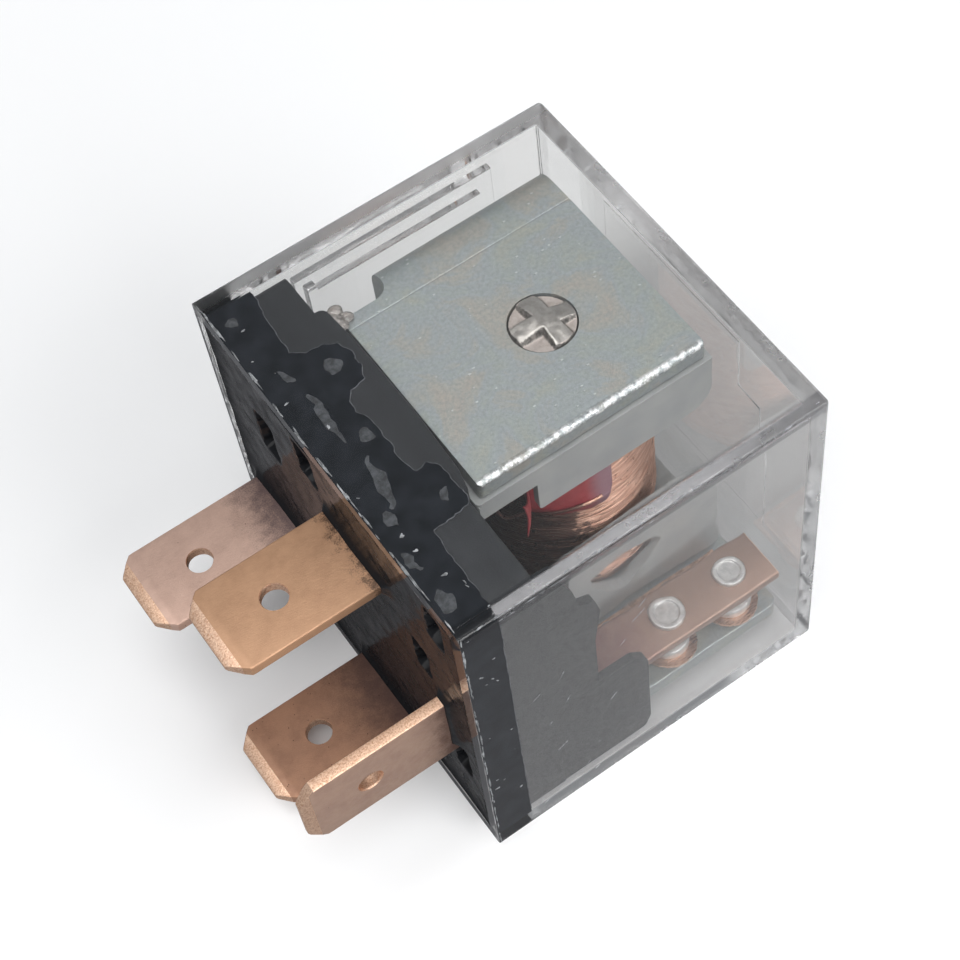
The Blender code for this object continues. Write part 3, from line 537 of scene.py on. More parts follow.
def black_moulding():
    made = Finish("black_moulding", (0.03, 0.032, 0.036), 0.5, Specular_IOR_Level=0.25)
    flow = made.noise(0.5, 5.0, 0.6, 0.4, made.stretched((1.0, 0.35, 0.35)))
    made.paint(flow, 0.3, (0.009, 0.010, 0.0115), 0.7, (0.019, 0.0205, 0.023))
    made.vary(made.noise(3.0, 4.0), 0.42, 0.62)
    made.bump(made.noise(9.0, 3.0), 0.012)
    return made.material


def black_epoxy():
    """The poured face: near black and satin, with a little dust."""
    made = Finish("black_epoxy", (0.010, 0.011, 0.013), 0.2, Specular_IOR_Level=0.10)
    dust = made.span(made.spots(2.2), 0.03, 0.07, 1.0, 0.0)
    made.set("Base Color", made.mix(dust, (0.013, 0.014, 0.016), (0.10, 0.10, 0.105)))
    made.vary(made.noise(0.8, 4.0), 0.14, 0.32, 0.35)
    made.bump(made.noise(0.45, 2.0), 0.10)
    return made.material


def dried_resin(name, colour):
    """The grey skin at a film's edge, and the grey of scuffed plastic."""
    made = Finish(name, colour, 0.6, Specular_IOR_Level=0.3)
    dark, pale = (tuple(share * c for c in colour) for share in (0.5, 1.5))
    made.set("Base Color", made.mix(made.span(made.noise(2.0, 4.0, 0.65), 0.35, 0.7), dark, pale))
    return made.material


COPPERS = {  # each blade's alloy: name, colour, tarnish, colour of the darker root, its reach, pits
    "30": ("copper_pink", (0.66, 0.45, 0.36), (0.52, 0.34, 0.27), (0.15, 0.10, 0.095), 2.6, 0.02),
    "86": ("copper_gold", (0.55, 0.32, 0.19), (0.43, 0.24, 0.14), (0.12, 0.07, 0.045), 0.7, -0.04),
    "85": ("copper_brown", (0.44, 0.24, 0.15), (0.27, 0.14, 0.09), (0.11, 0.06, 0.05), 3.6, 0.22),
    "87": ("copper_rose", (0.48, 0.32, 0.24), (0.36, 0.22, 0.17), (0.24, 0.14, 0.11), 1.2, 0.0),
}


def copper(name, colour, tarnish, root, reach, pits):
    """Dull copper alloy: satin, darker towards its root, with a fine grain, and pits where the plate was handled."""
    made = Finish(name, colour, 0.42, 0.45)
    shade = made.mix(made.span(made.noise(0.8, 4.0, 0.6), 0.35, 0.75, 0.0, 0.55), colour, tarnish)
    shade = made.mix(made.span(made.noise(17.0, 3.0, 0.7), 0.35, 0.75, 0.0, 0.30), shade, tarnish)
    ragged = made.span(made.noise(1.1, 3.0, 0.6), 0.2, 0.8, -0.7, 0.7)
    speckled = made.span(made.noise(11.0, 3.0, 0.7), 0.3, 0.7, -0.5, 0.5)
    edge = made.math("ADD", made.math("ADD", made.along("X"), speckled), ragged)
    shade = made.mix(made.span(edge, -1.4 * reach, 0.3), shade, root)
    small = made.span(made.spots(2.2), 0.05, 0.09, 1.0, 0.0)
    pit = made.math("MULTIPLY", small, made.span(made.noise(0.8, 2.0), 0.62 - pits, 0.66 - pits))
    made.set("Base Color", made.mix(pit, shade, (0.045, 0.022, 0.014)))
    made.vary(made.noise(2.5, 5.0), 0.34, 0.52, 0.3, 0.75)
    grain = made.noise(9.0, 4.0, 0.65, 0.0, made.stretched((0.5, 1.6, 1.6)))
    made.bump(made.math("SUBTRACT", grain, pit), 0.014)
    return made.material


def strip_copper():
    """The strip inside the case: smooth and beige, and darker and pinker where it comes out of the base, partly its
    own tone and partly painted shade of its twist.
    """
    made = Finish("strip_copper", (0.72, 0.53, 0.42), 0.36, 0.75)
    along = made.math("ADD", made.along("X"), made.span(made.noise(0.6, 3.0), 0.3, 0.7, -1.2, 1.2))
    # darker and pinker towards the twist: partly the strip's own tone, partly painted shade
    shade = made.mix(made.span(along, 10.5, 15.0), (0.255, 0.135, 0.12), (0.35, 0.225, 0.17))
    fine = made.span(made.noise(15.0, 3.0, 0.7), 0.35, 0.75, 0.0, 0.25)
    made.set("Base Color", made.mix(fine, shade, (0.25, 0.155, 0.12)))
    made.vary(made.noise(3.0, 4.0), 0.32, 0.46)
    made.bump(made.noise(8.0, 3.0, 0.6), 0.016)
    return made.material


PASSIVATION = (  # the plate's faint drift between yellow and blue: place on the noise, colour
    (0.34, (0.38, 0.385, 0.335)),
    (0.43, (0.355, 0.385, 0.365)),
    (0.51, (0.35, 0.38, 0.39)),
    (0.58, (0.385, 0.38, 0.345)),
    (0.68, (0.41, 0.375, 0.33)),
)


def zinc():
    """Zinc plate: satin, with a faint passivation, fine grain, nicks, painted glints along its near edge and painted
    shade over the bend.
    """
    made = Finish("zinc_plate", (0.48, 0.50, 0.48), 0.46, 0.6)
    tint = made.ramp(made.noise(0.24, 5.0, 0.6, 0.8), PASSIVATION)
    tint = made.mix(made.span(made.noise(4.5, 5.0, 0.75), 0.38, 0.68, 0.0, 0.5), tint, (0.20, 0.22, 0.22))
    grey = made.span(made.noise(1.7, 4.0, 0.7, 0.5), 0.45, 0.7, 0.0, 0.34)
    tint = made.mix(grey, tint, (0.27, 0.31, 0.31))
    # painted shade: darker from the bend line to the far edge, where the plate curves down
    bend = made.span(made.along("Y"), BEND_LINE_Y, YOKE_HIGH.y, 0.0, 0.5)
    tint = made.mix(bend, tint, (0.17, 0.19, 0.18))
    nick = made.span(made.spots(1.1, made.stretched((1.0, 1.8, 1.0))), 0.08, 0.14, 1.0, 0.0)
    nick = made.math("MULTIPLY", nick, made.span(made.noise(0.5, 2.0), 0.48, 0.55))
    tint = made.mix(made.math("MULTIPLY", nick, 0.5), tint, (0.60, 0.62, 0.61))
    near = made.span(made.along("Y"), YOKE_LOW.y + 0.20, YOKE_LOW.y + 0.50, 1.0, 0.0)
    high = made.span(made.along("Z"), YOKE_HIGH.z - 0.38, YOKE_HIGH.z - 0.30)
    lit_edge = made.math("MULTIPLY", near, high)
    # painted highlight: near-white glints along the near top edge
    glints = made.math("MULTIPLY", lit_edge, made.span(made.noise(2.6, 4.0, 0.7), 0.44, 0.60, 0.05, 1.0))
    made.set("Base Color", made.mix(glints, tint, (0.93, 0.94, 0.94)))
    rough = made.span(made.noise(6.0, 5.0, 0.65), 0.25, 0.75, 0.40, 0.54)
    made.set("Roughness", made.math("SUBTRACT", rough, made.math("MULTIPLY", lit_edge, 0.22)))
    grain = made.math("MULTIPLY", made.noise(4.0, 6.0, 0.75), 2.0)
    broken = made.math("MULTIPLY", made.noise(3.0, 4.0, 0.65), made.math("MULTIPLY", lit_edge, 5.0))
    grain = made.math("ADD", grain, broken)
    made.bump(made.math("SUBTRACT", grain, made.math("MULTIPLY", nick, 2.0)), 0.011)
    return made.material


def enamelled_wire():
    """Copper under enamel, darkened by painted shade at the end towards the base."""
    made = Finish("enamelled_wire", (0.60, 0.36, 0.26), 0.34, 0.9)
    shade = made.noise(1.3, 4.0, 0.6, 0.0, made.stretched((0.6, 0.6, 5.0)))
    shade = made.ramp(shade, [(0.25, (0.34, 0.16, 0.11)), (0.7, (0.72, 0.47, 0.36))])
    ragged = made.span(made.noise(0.8, 4.0, 0.7), 0.3, 0.7, -0.9, 0.9)
    # painted shade: near black at the winding's end towards the base, where the base shades it
    painted_base_shade = made.span(made.math("ADD", made.along("X"), ragged), COIL.x - 2.3, COIL.x - 1.8, 0.8, 0.0)
    made.set("Base Color", made.mix(painted_base_shade, shade, (0.060, 0.034, 0.031)))
    made.vary(made.noise(2.0, 3.0), 0.26, 0.44)
    return made.material


def red_tape():
    """Dark red tape, greyer towards the end of its turn."""
    made = Finish("red_tape", (0.34, 0.04, 0.05), 0.40)
    weave = made.noise(1.4, 4.0, 0.6)
    red = made.ramp(weave, [(0.3, (0.24, 0.028, 0.036)), (0.75, (0.40, 0.065, 0.07))])
    worn = made.span(made.along("X"), COIL.x - 2.0, COIL.x - 0.7)
    made.set("Base Color", made.mix(worn, red, (0.26, 0.14, 0.17)))
    made.bump(made.noise(2.2, 3.0), 0.03)
    return made.material


def spring_bronze():
    made = Finish("spring_bronze", (0.74, 0.43, 0.30), 0.30, 1.0)
    grain = made.noise(5.0, 4.0, 0.6, 0.0, made.stretched((0.3, 3.0, 3.0)))
    made.paint(grain, 0.3, (0.56, 0.30, 0.20), 0.75, (0.84, 0.54, 0.39))
    made.vary(grain, 0.24, 0.36)
    made.bump(grain, 0.006)
    return made.material


def pale_floor():
    """White paper. It shows dimmer in reflections, as if a flag stood between it and the part."""
    made = Finish("pale_floor", (0.93, 0.93, 0.93), 0.8, Specular_IOR_Level=0.2)
    made.paint(made.noise(0.01, 2.0), 0.3, (0.925, 0.925, 0.925), 0.7, (0.94, 0.94, 0.94))
    path = made.tree.nodes.new("ShaderNodeLightPath").outputs
    beyond = made.span(made.along("Y"), HALF + 1.0, HALF + 9.0)
    through = made.mix(beyond, FLOOR_THROUGH_WALLS, FLOOR_BEYOND)
    inside = made.math("GREATER_THAN", path["Transmission Depth"], 0.5)
    dim = made.node("ShaderNodeBsdfDiffuse", {"Color": made.mix(inside, FLOOR_MIRRORED, through)}, "BSDF")
    mixed = made.node("ShaderNodeMixShader", {0: path["Is Glossy Ray"], 1: made.shader.outputs[0], 2: dim}, 0)
    made.tree.links.new(mixed, made.tree.nodes["Material Output"].inputs["Surface"])
    return made.material


# ---------------------------------------------------------------- cover


def draft(point):
    """The cover's taper: it narrows a little from the open rim to the closed end."""
    share = point.x / LENGTH
    return Vector((point.x, point.y * (1 - 0.004 * share), point.z * (1 - 0.015 * share)))


def tapered(bm):
    for vert in bm.verts:
        vert.co = draft(vert.co)
    return bm


def make_cover(finish):
    """The clear shell, with crisp outer edges, soft inner ones and guide ledges on its far wall."""
    low, high = (0, -HALF, -HALF), (LENGTH, HALF, HALF)
    outer = box(low, high, 0.32, 5, lambda e: max(v.co.x for v in e.verts) > LENGTH / 2)
    inner = box((-4.0, -INNER, -INNER), (LENGTH - WALL, INNER, INNER), 0.18, 4)
    shell = make("cover_shell", tapered(outer), finish, ["cover"])
    carve(shell, tapered(inner))
    far_steps = (
        ((5.9, INNER - 0.50, -9.0), (20.2, INNER + 0.4, 12.0)),
        ((6.5, INNER - 0.95, -8.4), (19.0, INNER + 0.3, 10.9)),
        ((6.4, INNER - 1.15, -9.3), (7.1, INNER + 0.3, 11.4)),
    )
    for low, high in far_steps:
        ledge = box(low, high, 0.10, 2, lambda e: min(v.co.y for v in e.verts) < INNER)
        carve(shell, tapered(ledge), "UNION")
    panel = [(-7.1, 12.3), (-7.1, 7.85), (-9.15, 7.75), (-9.25, -4.25), (6.0, -4.4), (6.0, 12.3)]
    foot = rectangle((-INNER - 0.2, -INNER - 0.2), (-4.5, -11.35))
    for outline, raised in ((panel, 0.06), (foot, 0.05)):
        pad = prism(outline, "X", LENGTH - WALL - raised, LENGTH - WALL + 0.3)
        carve(shell, tapered(pad), "UNION")
    keep_flat(shade(shell, 32.0))


# ---------------------------------------------------------------- potting


FILM_EDGE = (  # the wetted film's inner edge on the top wall: (x, y), from the far wall to the near one
    (3.2, 12.9), (3.3, 12.2), (3.0, 11.0), (2.9, 9.0), (2.8, 7.7), (3.5, 7.1), (4.6, 7.0), (5.4, 6.5),
    (5.75, 5.6), (5.7, 4.5), (5.3, 3.6), (4.3, 3.3), (3.75, 2.7), (3.7, 1.9), (4.05, 0.9), (4.05, -1.2),
    (3.95, -2.6), (4.3, -3.4), (5.1, -3.3), (5.55, -4.1), (5.65, -5.3), (5.45, -6.9), (4.3, -7.15),
    (3.0, -7.3), (2.75, -8.1), (2.65, -10.2), (2.7, -12.9),
)
DRY_PATCHES = (  # places the film hasn't wetted: centre x, y, half length along y, half width, tilt in degrees
    (2.05, 2.5, 2.0, 0.30, -4.0),
    (2.25, -2.9, 2.1, 0.32, -9.0),
    (3.2, 0.25, 0.50, 0.30, 20.0),
    (4.35, 5.3, 0.62, 0.40, 12.0),
    (1.0, -11.2, 0.95, 0.42, -15.0),
    (1.2, 11.4, 0.30, 0.35, 10.0),
    (4.7, -5.6, 0.55, 0.20, -30.0),
    (1.6, 6.4, 0.45, 0.16, 25.0),
    (1.35, -5.2, 0.55, 0.45, 35.0),
    (0.9, -8.2, 0.70, 0.22, 12.0),
)


def film_slab(name, outline, holes, finish):
    """A thin film inside the top wall, cut to an outline with holes, from a filled flat curve."""
    curve = bpy.data.curves.new(name, "CURVE")
    curve.dimensions = "2D"
    curve.fill_mode = "BOTH"
    curve.extrude = FILM_THICKNESS * MM
    for points in [outline, *holes]:
        spline = curve.splines.new("POLY")
        spline.points.add(len(points) - 1)
        spline.use_cyclic_u = True
        for knot, (x, y) in zip(spline.points, points):
            knot.co = (x * MM, y * MM, 0.0, 1.0)
    guide = link(name, curve)
    bpy.context.view_layer.update()
    mesh = bpy.data.meshes.new_from_object(guide.evaluated_get(bpy.context.evaluated_depsgraph_get()))
    bpy.data.objects.remove(guide)
    bpy.data.curves.remove(curve)
    bm = bmesh.new()
    bm.from_mesh(mesh)
    bpy.data.meshes.remove(mesh)
    bmesh.ops.remove_doubles(bm, verts=bm.verts, dist=0.001 * MM)
    bmesh.ops.scale(bm, vec=(1 / MM, 1 / MM, 1 / MM), verts=bm.verts)
    for vert in bm.verts:
        vert.co = draft(Vector((vert.co.x, vert.co.y, FILM_PLACE + vert.co.z)))
    make(name, bm, finish, angle=0)


def wavy(points, seed, reach=0.07, pitch=1.1):
    """Gives an outline a small irregular waviness."""
    made = []
    for x, y in points:
        offset = noise.noise_vector(Vector((x * pitch, y * pitch, seed)))
        made.append((x + offset.x * reach, y + offset.y * reach))
    return made


def straight_path(corners, steps):
    """Points along straight runs between corners."""
    path = []
    for (ax, ay), (bx, by) in zip(corners, corners[1:]):
        for step in range(steps):
            share = step / steps
            path.append((ax + (bx - ax) * share, ay + (by - ay) * share))
    return [*path, corners[-1]]


def film_band(name, side, finish):
    """The wetted band inside one wall: the near one (-1), the far one (1) or the one underneath (None)."""
    steps = 60
    edge = INNER - 0.05
    rings = []
    for step in range(steps + 1):
        across = -INNER + 0.05 + 2 * edge * step / steps
        reach = FILM_DEPTH + 0.07 * noise.noise(Vector((across * 0.9, side or 7.0, 2.0)))
        if side is None:
            reach += 0.9 * max(0.0, noise.noise(Vector((across * 0.35, 1.0, 5.0))))
        ring = []
        for x, lift in ((RIM, -1), (RIM, 1), (reach, 1), (reach, -1)):
            level = FILM_PLACE + lift * FILM_THICKNESS
            point = Vector((x, across, -level)) if side is None else Vector((x, side * level, across))
            ring.append(draft(point))
        rings.append(ring)
    make(name, loft(rings), finish, angle=0)
    return rings


def make_films(finish, dried, patch):
    edge = straight_path(FILM_EDGE, 7)
    edge = wavy(wavy(edge, 3.0, 0.16, 1.5), 9.0, 0.09, 4.2)
    rim = [draft(Vector((x, y, INNER))) for x, y in edge[3:-3]]
    make("wetted_film_rim", loft(tube_rings(rim, 0.05, 5)), dried)
    holes = []
    for index, (x, y, long, wide, tilt) in enumerate(DRY_PATCHES):
        turn = Matrix.Rotation(math.radians(tilt), 2)
        ring = [turn @ Vector((wide * a, long * b)) for a, b in circle((0, 0), 1.0, 26)]
        ragged = wavy([(x + p.x, y + p.y) for p in ring], index * 5.0, 0.42, 1.3)
        holes.append(wavy(ragged, index * 3.0, 0.10, 4.5))
    film_slab("wetted_film_top", [(RIM, INNER - 0.1), *edge, (RIM, -INNER + 0.1)], holes, finish)
    for index, hole in enumerate(holes, 1):
        film_slab(f"dry_patch_{index}", hole, [], patch)
    near = film_band("wetted_film_near", -1.0, finish)
    inner_edge = [Vector((ring[2][0], -INNER, ring[2][2])) for ring in near[1:-1]]
    make("wetted_film_near_rim", loft(tube_rings(inner_edge, 0.05, 5)), dried)
    film_band("wetted_film_far", 1.0, finish)
    film_band("wetted_film_under", None, finish)


def flake(bm, centre, long, wide, tilt, face):
    """One thin irregular flake that lies on the cover's top face or on its near one."""
    count = 10
    ring = []
    for step in range(count):
        turn = 2 * math.pi * step / count
        reach = RANDOM.uniform(0.35, 1.25)
        a = long * reach * math.cos(turn)
        b = wide * reach * math.sin(turn)
        ring.append((a * math.cos(tilt) - b * math.sin(tilt), a * math.sin(tilt) + b * math.cos(tilt)))
    rings = []
    for lift in (-0.03, 0.015):
        layer = []
        for a, b in ring:
            flat = (centre[0] + a, centre[1] + b)
            point = (*flat, HALF + lift) if face == "top" else (flat[0], -HALF - lift, flat[1])
            layer.append(draft(Vector(point)))
        rings.append(layer)
    join_into(bm, loft(rings))


def make_scuffs(finish):
    """Worn marks along the cover's rim and ridge, and a few over the potting."""
    bm = bmesh.new()
    quarter = math.pi / 2
    for face in ("top", "near"):
        for index in range(46):
            place = (RANDOM.uniform(0.05, 0.16), RANDOM.uniform(-HALF + 0.3, HALF - 0.3))
            flake(bm, place, RANDOM.uniform(0.15, 0.75), RANDOM.uniform(0.03, 0.06), quarter, face)
        for index in range(12):
            place = (RANDOM.uniform(0.3, 2.6), RANDOM.uniform(-HALF + 0.5, HALF - 0.5))
            size = RANDOM.uniform(0.05, 0.22)
            flake(bm, place, size, size * RANDOM.uniform(0.25, 0.6), RANDOM.uniform(0, math.pi), face)
    for index in range(34):
        along = RANDOM.uniform(0.3, 9.0) if index % 2 else RANDOM.uniform(0.3, LENGTH - 0.5)
        face = RANDOM.choice(("top", "near"))
        edge = -HALF + RANDOM.uniform(0.02, 0.12) if face == "top" else HALF - RANDOM.uniform(0.35, 0.5)
        flake(bm, (along, edge), RANDOM.uniform(0.08, 0.4), RANDOM.uniform(0.02, 0.05), 0.0, face)
    for index in range(14):
        place = (RANDOM.uniform(3.0, 12.0), RANDOM.uniform(-HALF + 1.5, HALF - 8.0))
        flake(bm, place, RANDOM.uniform(0.15, 0.55), 0.02, RANDOM.uniform(0.4, 1.1), "near")
    make("rim_scuffs", bm, finish, angle=0)


SEAT_POCKETS = (  # where the poured face has sunk: centre y, z, half sizes in y and z
    (8.2, 6.3, 0.9, 1.9),
    (3.0, 9.7, 0.9, 1.7),
    (-10.4, 9.7, 0.7, 1.5),
    (-7.9, 2.3, 0.7, 1.5),
    (7.6, -9.6, 0.8, 1.7),
    (-10.7, -6.6, 0.7, 1.8),
)


def blade_boxes():
    """Each blade's rectangle in the seating face: y and z of its lowest and highest corner."""
    boxes = {}
    for name in ("30", "86", "85"):
        top = MOUNTS[f"blade_{name}"]
        boxes[name] = (top.y - BLADE_WIDTH / 2, top.z - BLADE_THICKNESS, top.y + BLADE_WIDTH / 2, top.z)
    near = MOUNTS["blade_87"]
    boxes["87"] = (near.y, near.z - BLADE_WIDTH / 2, near.y + BLADE_THICKNESS, near.z + BLADE_WIDTH / 2)
    return boxes


def blade_middle(name):
    """The centre of a blade's rectangle, as y and z."""
    low_y, low_z, high_y, high_z = BLADES[name]
    return (low_y + high_y) / 2, (low_z + high_z) / 2


BLADES = blade_boxes()


def seat_level(y, z):
    """How far the poured face lies along X at a point: sunk between its menisci, and in its pockets."""
    level = 0.22 + 0.10 * noise.noise(Vector((y * 0.16, z * 0.16, 4.0)))
    level += 0.03 * noise.noise(Vector((y * 0.7, z * 0.7, 9.0)))
    rim = min(INNER - abs(y), INNER - abs(z))
    level -= 0.24 * math.exp(-max(rim, 0.0) / 0.45)
    for low_y, low_z, high_y, high_z in BLADES.values():
        away = math.hypot(max(low_y - y, 0.0, y - high_y), max(low_z - z, 0.0, z - high_z))
        level -= 0.42 * math.exp(-away / 0.38)
    for centre_y, centre_z, half_y, half_z in SEAT_POCKETS:
        off_y = max(abs(y - centre_y) - half_y + 0.35, 0.0)
        off_z = max(abs(z - centre_z) - half_z + 0.35, 0.0)
        away = math.hypot(off_y, off_z) + 0.12 * noise.noise(Vector((y * 1.2, z * 1.2, 1.0)))
        depth = 1.0 / (1.0 + math.exp(min((away - 0.35) / 0.035, 60.0)))
        level += depth * (1.15 + 0.35 * noise.noise(Vector((y * 2.2, z * 2.2, 6.0))))
    return level


def make_potting(finish):
    """The poured face as a fine height field on a closed slab."""
    count = 200
    bm = bmesh.new()
    reach = INNER - 0.04
    places = [-reach + 2 * reach * step / count for step in range(count + 1)]
    front = [[bm.verts.new((seat_level(y, z), y, z)) for z in places] for y in places]
    for row, after in zip(front, front[1:]):
        for index in range(count):
            bm.faces.new((row[index], after[index], after[index + 1], row[index + 1]))
    border = [row[0] for row in front] + front[-1][1:]
    border += [row[-1] for row in reversed(front[:-1])] + front[0][-2:0:-1]
    back = [bm.verts.new((SEAL_HIGH.x, v.co.y, v.co.z)) for v in border]
    for index in range(len(border)):
        after = (index + 1) % len(border)
        bm.faces.new((border[index], border[after], back[after], back[index]))
    bm.faces.new(back)
    make("poured_seal", bm, finish, ["potting_seal"], angle=50.0)


# ---------------------------------------------------------------- base


def make_base(finish):
    """The moulded base: a plate, a raised step and the cheek that holds the contact strip."""
    reach = BASE_HIGH.y
    plate = rounded(rectangle((-reach, -reach), (reach, reach)), 0.9, 5)
    plate = prism(plate, "X", BASE_LOW.x, 5.5)
    body = make("base_moulding", plate, finish, ["base"])
    step = [(4.0, -6.2), (5.9, -6.2), (6.25, -4.6), (6.45, 0.0), (6.4, 6.0), (6.15, 9.3), (4.0, 9.5)]
    step = rounded(step, [0.0, 0.3, 0.6, 0.0, 0.0, 0.5, 0.0])
    carve(body, prism(step, "Z", -reach + 0.5, reach - 0.15), "UNION")
    cheek = [
        (4.0, -12.3), (11.9, -12.3), (12.3, -11.2), (12.3, -3.4), (11.3, -2.3), (8.7, -2.3), (8.7, 3.2),
        (9.2, 6.4), (8.9, 7.8), (7.9, 8.3), (7.5, 10.4), (6.9, 11.9), (4.0, 12.2),
    ]
    cheek = rounded(cheek, [0.0, 0.4, 0.6, 0.9, 0.5, 0.2, 1.0, 0.4, 0.3, 0.3, 0.5, 0.3, 0.0])
    carve(body, prism(cheek, "Y", -reach + 0.12, -12.2), "UNION")
    ledge = rounded([(4.0, -12.75), (11.9, -12.75), (11.9, -12.0), (4.0, -12.0)], [0.0, 0.3, 0.3, 0.0])
    carve(body, prism(ledge, "Y", -12.5, -9.2), "UNION")
    for low_y, low_z, high_y, high_z in BLADES.values():
        carve(body, box((0, low_y - 0.1, low_z - 0.1), (9.0, high_y + 0.1, high_z + 0.1)))
    soften(body, 0.16, 3)


# ---------------------------------------------------------------- blades


def blade_bm(name):
    """A stamped blade with a coined tip, rounder along its first face, where the die entered."""
    middle_y, middle_z = blade_middle(name)
    half = BLADE_WIDTH / 2
    thick = BLADE_THICKNESS / 2
    tip = cad(f"terminal_{name}")[0].x
    sections = [
        (tip, half - 1.15, thick * 0.42),
        (tip + 0.10, half - 1.02, thick * 0.60),
        (tip + BEVEL, half - 0.35, thick * 0.97),
        (tip + 1.12, half - 0.02, thick),
        (tip + 1.35, half, thick),
        (2.2, half, thick),
    ]
    rings = []
    for x, wide, deep in sections:
        roll = min(EDGE_ROLL, deep * 0.8)
        outline = rounded(rectangle((-wide, -deep), (wide, deep)), [roll * 0.4, roll * 0.4, roll, roll], 4)
        if name == "87":
            rings.append([(x, middle_y - b, middle_z + a) for a, b in outline])
        else:
            rings.append([(x, middle_y + a, middle_z + b) for a, b in outline])
    return loft(rings)


def hole_bm(name):
    """The punched hole, with its rolled lips."""
    across, level = blade_middle(name)
    if name == "87":
        across, level = level, across
    centre = (cad(f"terminal_{name}")[0].x + HOLE_FROM_TIP, across)
    profile = [(0, -1.2), (1.25, -1.2), (0.88, -0.36), (0.85, -0.30), (0.85, 0.30), (0.88, 0.36), (1.25, 1.2)]
    profile = [(radius, level + lift) for radius, lift in [*profile, (0, 1.2)]]
    return lathe(profile, centre, "Y" if name == "87" else "Z")


def make_blade(name, finish, bright):
    """A blade, with bare metal where it was coined or punched, and on the upright blade's top edge, partly sheared
    metal and partly a painted highlight.
    """
    node = f"terminal_{name}"
    blade = make(f"blade_{name}", blade_bm(name), [finish, bright], [node])
    carve(blade, hole_bm(name))
    tip = cad(node)[0].x * MM
    upright = name == "87"
    hole = Vector((tip + HOLE_FROM_TIP * MM, blade_middle(name)[1 if upright else 0] * MM))
    for face in blade.data.polygons:
        across = face.normal.y if upright else face.normal.z
        place = Vector((face.center.x, face.center.z if upright else face.center.y))
        coined = face.center.x < tip + (BEVEL - 0.1) * MM and abs(face.normal.x) > 0.2
        bored = (place - hole).length < 0.95 * MM and abs(across) < 0.95
        # the upright blade's top edge alone: partly sheared metal, partly a painted highlight
        sheared_edge_and_glint = upright and face.normal.z > 0.7
        face.material_index = 1 if coined or bored or sheared_edge_and_glint else 0
    shade(blade, 24.0)


def ease(share):
    return share * share * (3.0 - 2.0 * share)


def ribbon(start, end, turn_to):
    """A flat bar that eases between two sections (x, y, z, width, angle in degrees)."""
    steps = 26
    stations = [start]
    for step in range(steps + 1):
        share = step / steps
        x = FOLD_FROM + (turn_to - FOLD_FROM) * share
        stations.append((x, *(a + (b - a) * ease(share) for a, b in zip(start[1:], end[1:]))))
    rings = []
    for x, y, z, width, angle in [*stations, end]:
        turn = math.radians(angle)
        cos, sin = math.cos(turn), math.sin(turn)
        outline = rectangle((-width / 2, -BLADE_THICKNESS / 2), (width / 2, BLADE_THICKNESS / 2))
        ring = [(x, y + a * cos - b * sin, z + a * sin + b * cos) for a, b in rounded(outline, 0.16, 4)]
        rings.append(ring)
    return loft(rings)


def make_strip(finish, bright):
    """The load blade inside the case: it twists flat and carries the fixed contacts."""
    top = cad("fixed_contact_1")[1].z - 0.35
    start = (2.0, *blade_middle("87"), BLADE_WIDTH - 0.2, 90.0)
    place = (cad("terminal_87")[1].x, middle("fixed_contact_1").y - 0.02, top - BLADE_THICKNESS / 2)
    end = (*place, STRIP_WIDTH, 0.0)
    strip = make("contact_strip", ribbon(start, end, 10.6), [finish, bright])
    # the strip's rounded edges take the bright copper: a painted highlight along them
    soften(strip, 0.15, 3, 50.0).modifiers["Bevel"].material = 1


def make_tongue(finish):
    """The supply blade inside the case: it twists upright and lies on the yoke's leg."""
    leg = YOKE_HIGH.y + 0.05 + BLADE_THICKNESS / 2
    start = (2.0, *blade_middle("30"), BLADE_WIDTH - 0.2, 0.0)
    end = (cad("terminal_30")[1].x, leg, middle("terminal_rivet_1").z, TONGUE_WIDTH, 90.0)
    soften(make("supply_tongue", ribbon(start, end, 10.0), finish), 0.12, 3, 50.0)


def make_post(name, lead, finish):
    """The narrow solder post behind a coil blade."""
    y = cad(lead)[0].y + 0.15
    z = blade_middle(name)[1]
    post = box((2.0, y - 0.6, z - 0.34), (cad(f"terminal_{name}")[1].x, y + 0.6, z + 0.34))
    soften(make(f"coil_post_{name}", post, finish), 0.1, 3)


# ---------------------------------------------------------------- magnet


def drill(obj, nodes, radius, low, high, axis="Z"):
    """Bores a straight hole on the axis of each CAD node."""
    for node in nodes:
        carve(obj, rod(radius, low, high, axis_of(node, axis), axis))


def axis_of(node, axis):
    """Where a turned CAD node's axis crosses the plane that it is square to."""
    centre = middle(node)
    return (centre.x, centre.y) if axis == "Z" else (centre.x, centre.z)


def make_yoke(finish):
    """Bent steel plate and leg: rolled edges, a scored bend line, and rounded corners in plan."""
    low, high = YOKE_LOW, YOKE_HIGH
    groove = BEND_LINE_Y
    profile = [
        (low.y, high.z), (groove - 0.13, high.z), (groove, high.z - 0.09), (groove + 0.10, high.z - 0.04),
        (high.y, high.z - 0.12), (high.y, low.z), (high.y - STEEL, low.z), (high.y - STEEL, high.z - STEEL),
        (low.y, high.z - STEEL),
    ]
    profile = rounded(profile, [0.32, 0.0, 0.0, 0.0, 1.6, 0.15, 0.15, 0.85, 0.25], 8)
    yoke = make("yoke_frame", prism(profile, "X", low.x, high.x), finish, ["yoke"])
    plan = [
        (low.x, low.y), (high.x, low.y), (high.x, high.y + 1.0), (10.2, high.y + 1.0),
        (10.2, high.y - 2.4), (low.x, high.y - 2.4),
    ]
    plan = rounded(plan, [0.3, 0.25, 0.0, 0.0, 1.0, 0.4], 5)
    carve(yoke, prism(plan, "Z", low.z - 1.0, high.z + 1.0), "INTERSECT")
    carve(yoke, rod(STAKE_RADIUS, high.z - 2.0, high.z + 1.0, (COIL.x, COIL.y), steps=48))
    drill(yoke, LEG_RIVETS, 0.56, 7.0, 13.0, "Y")
    keep_flat(soften(yoke, 0.14, 3, 42.0), 90)


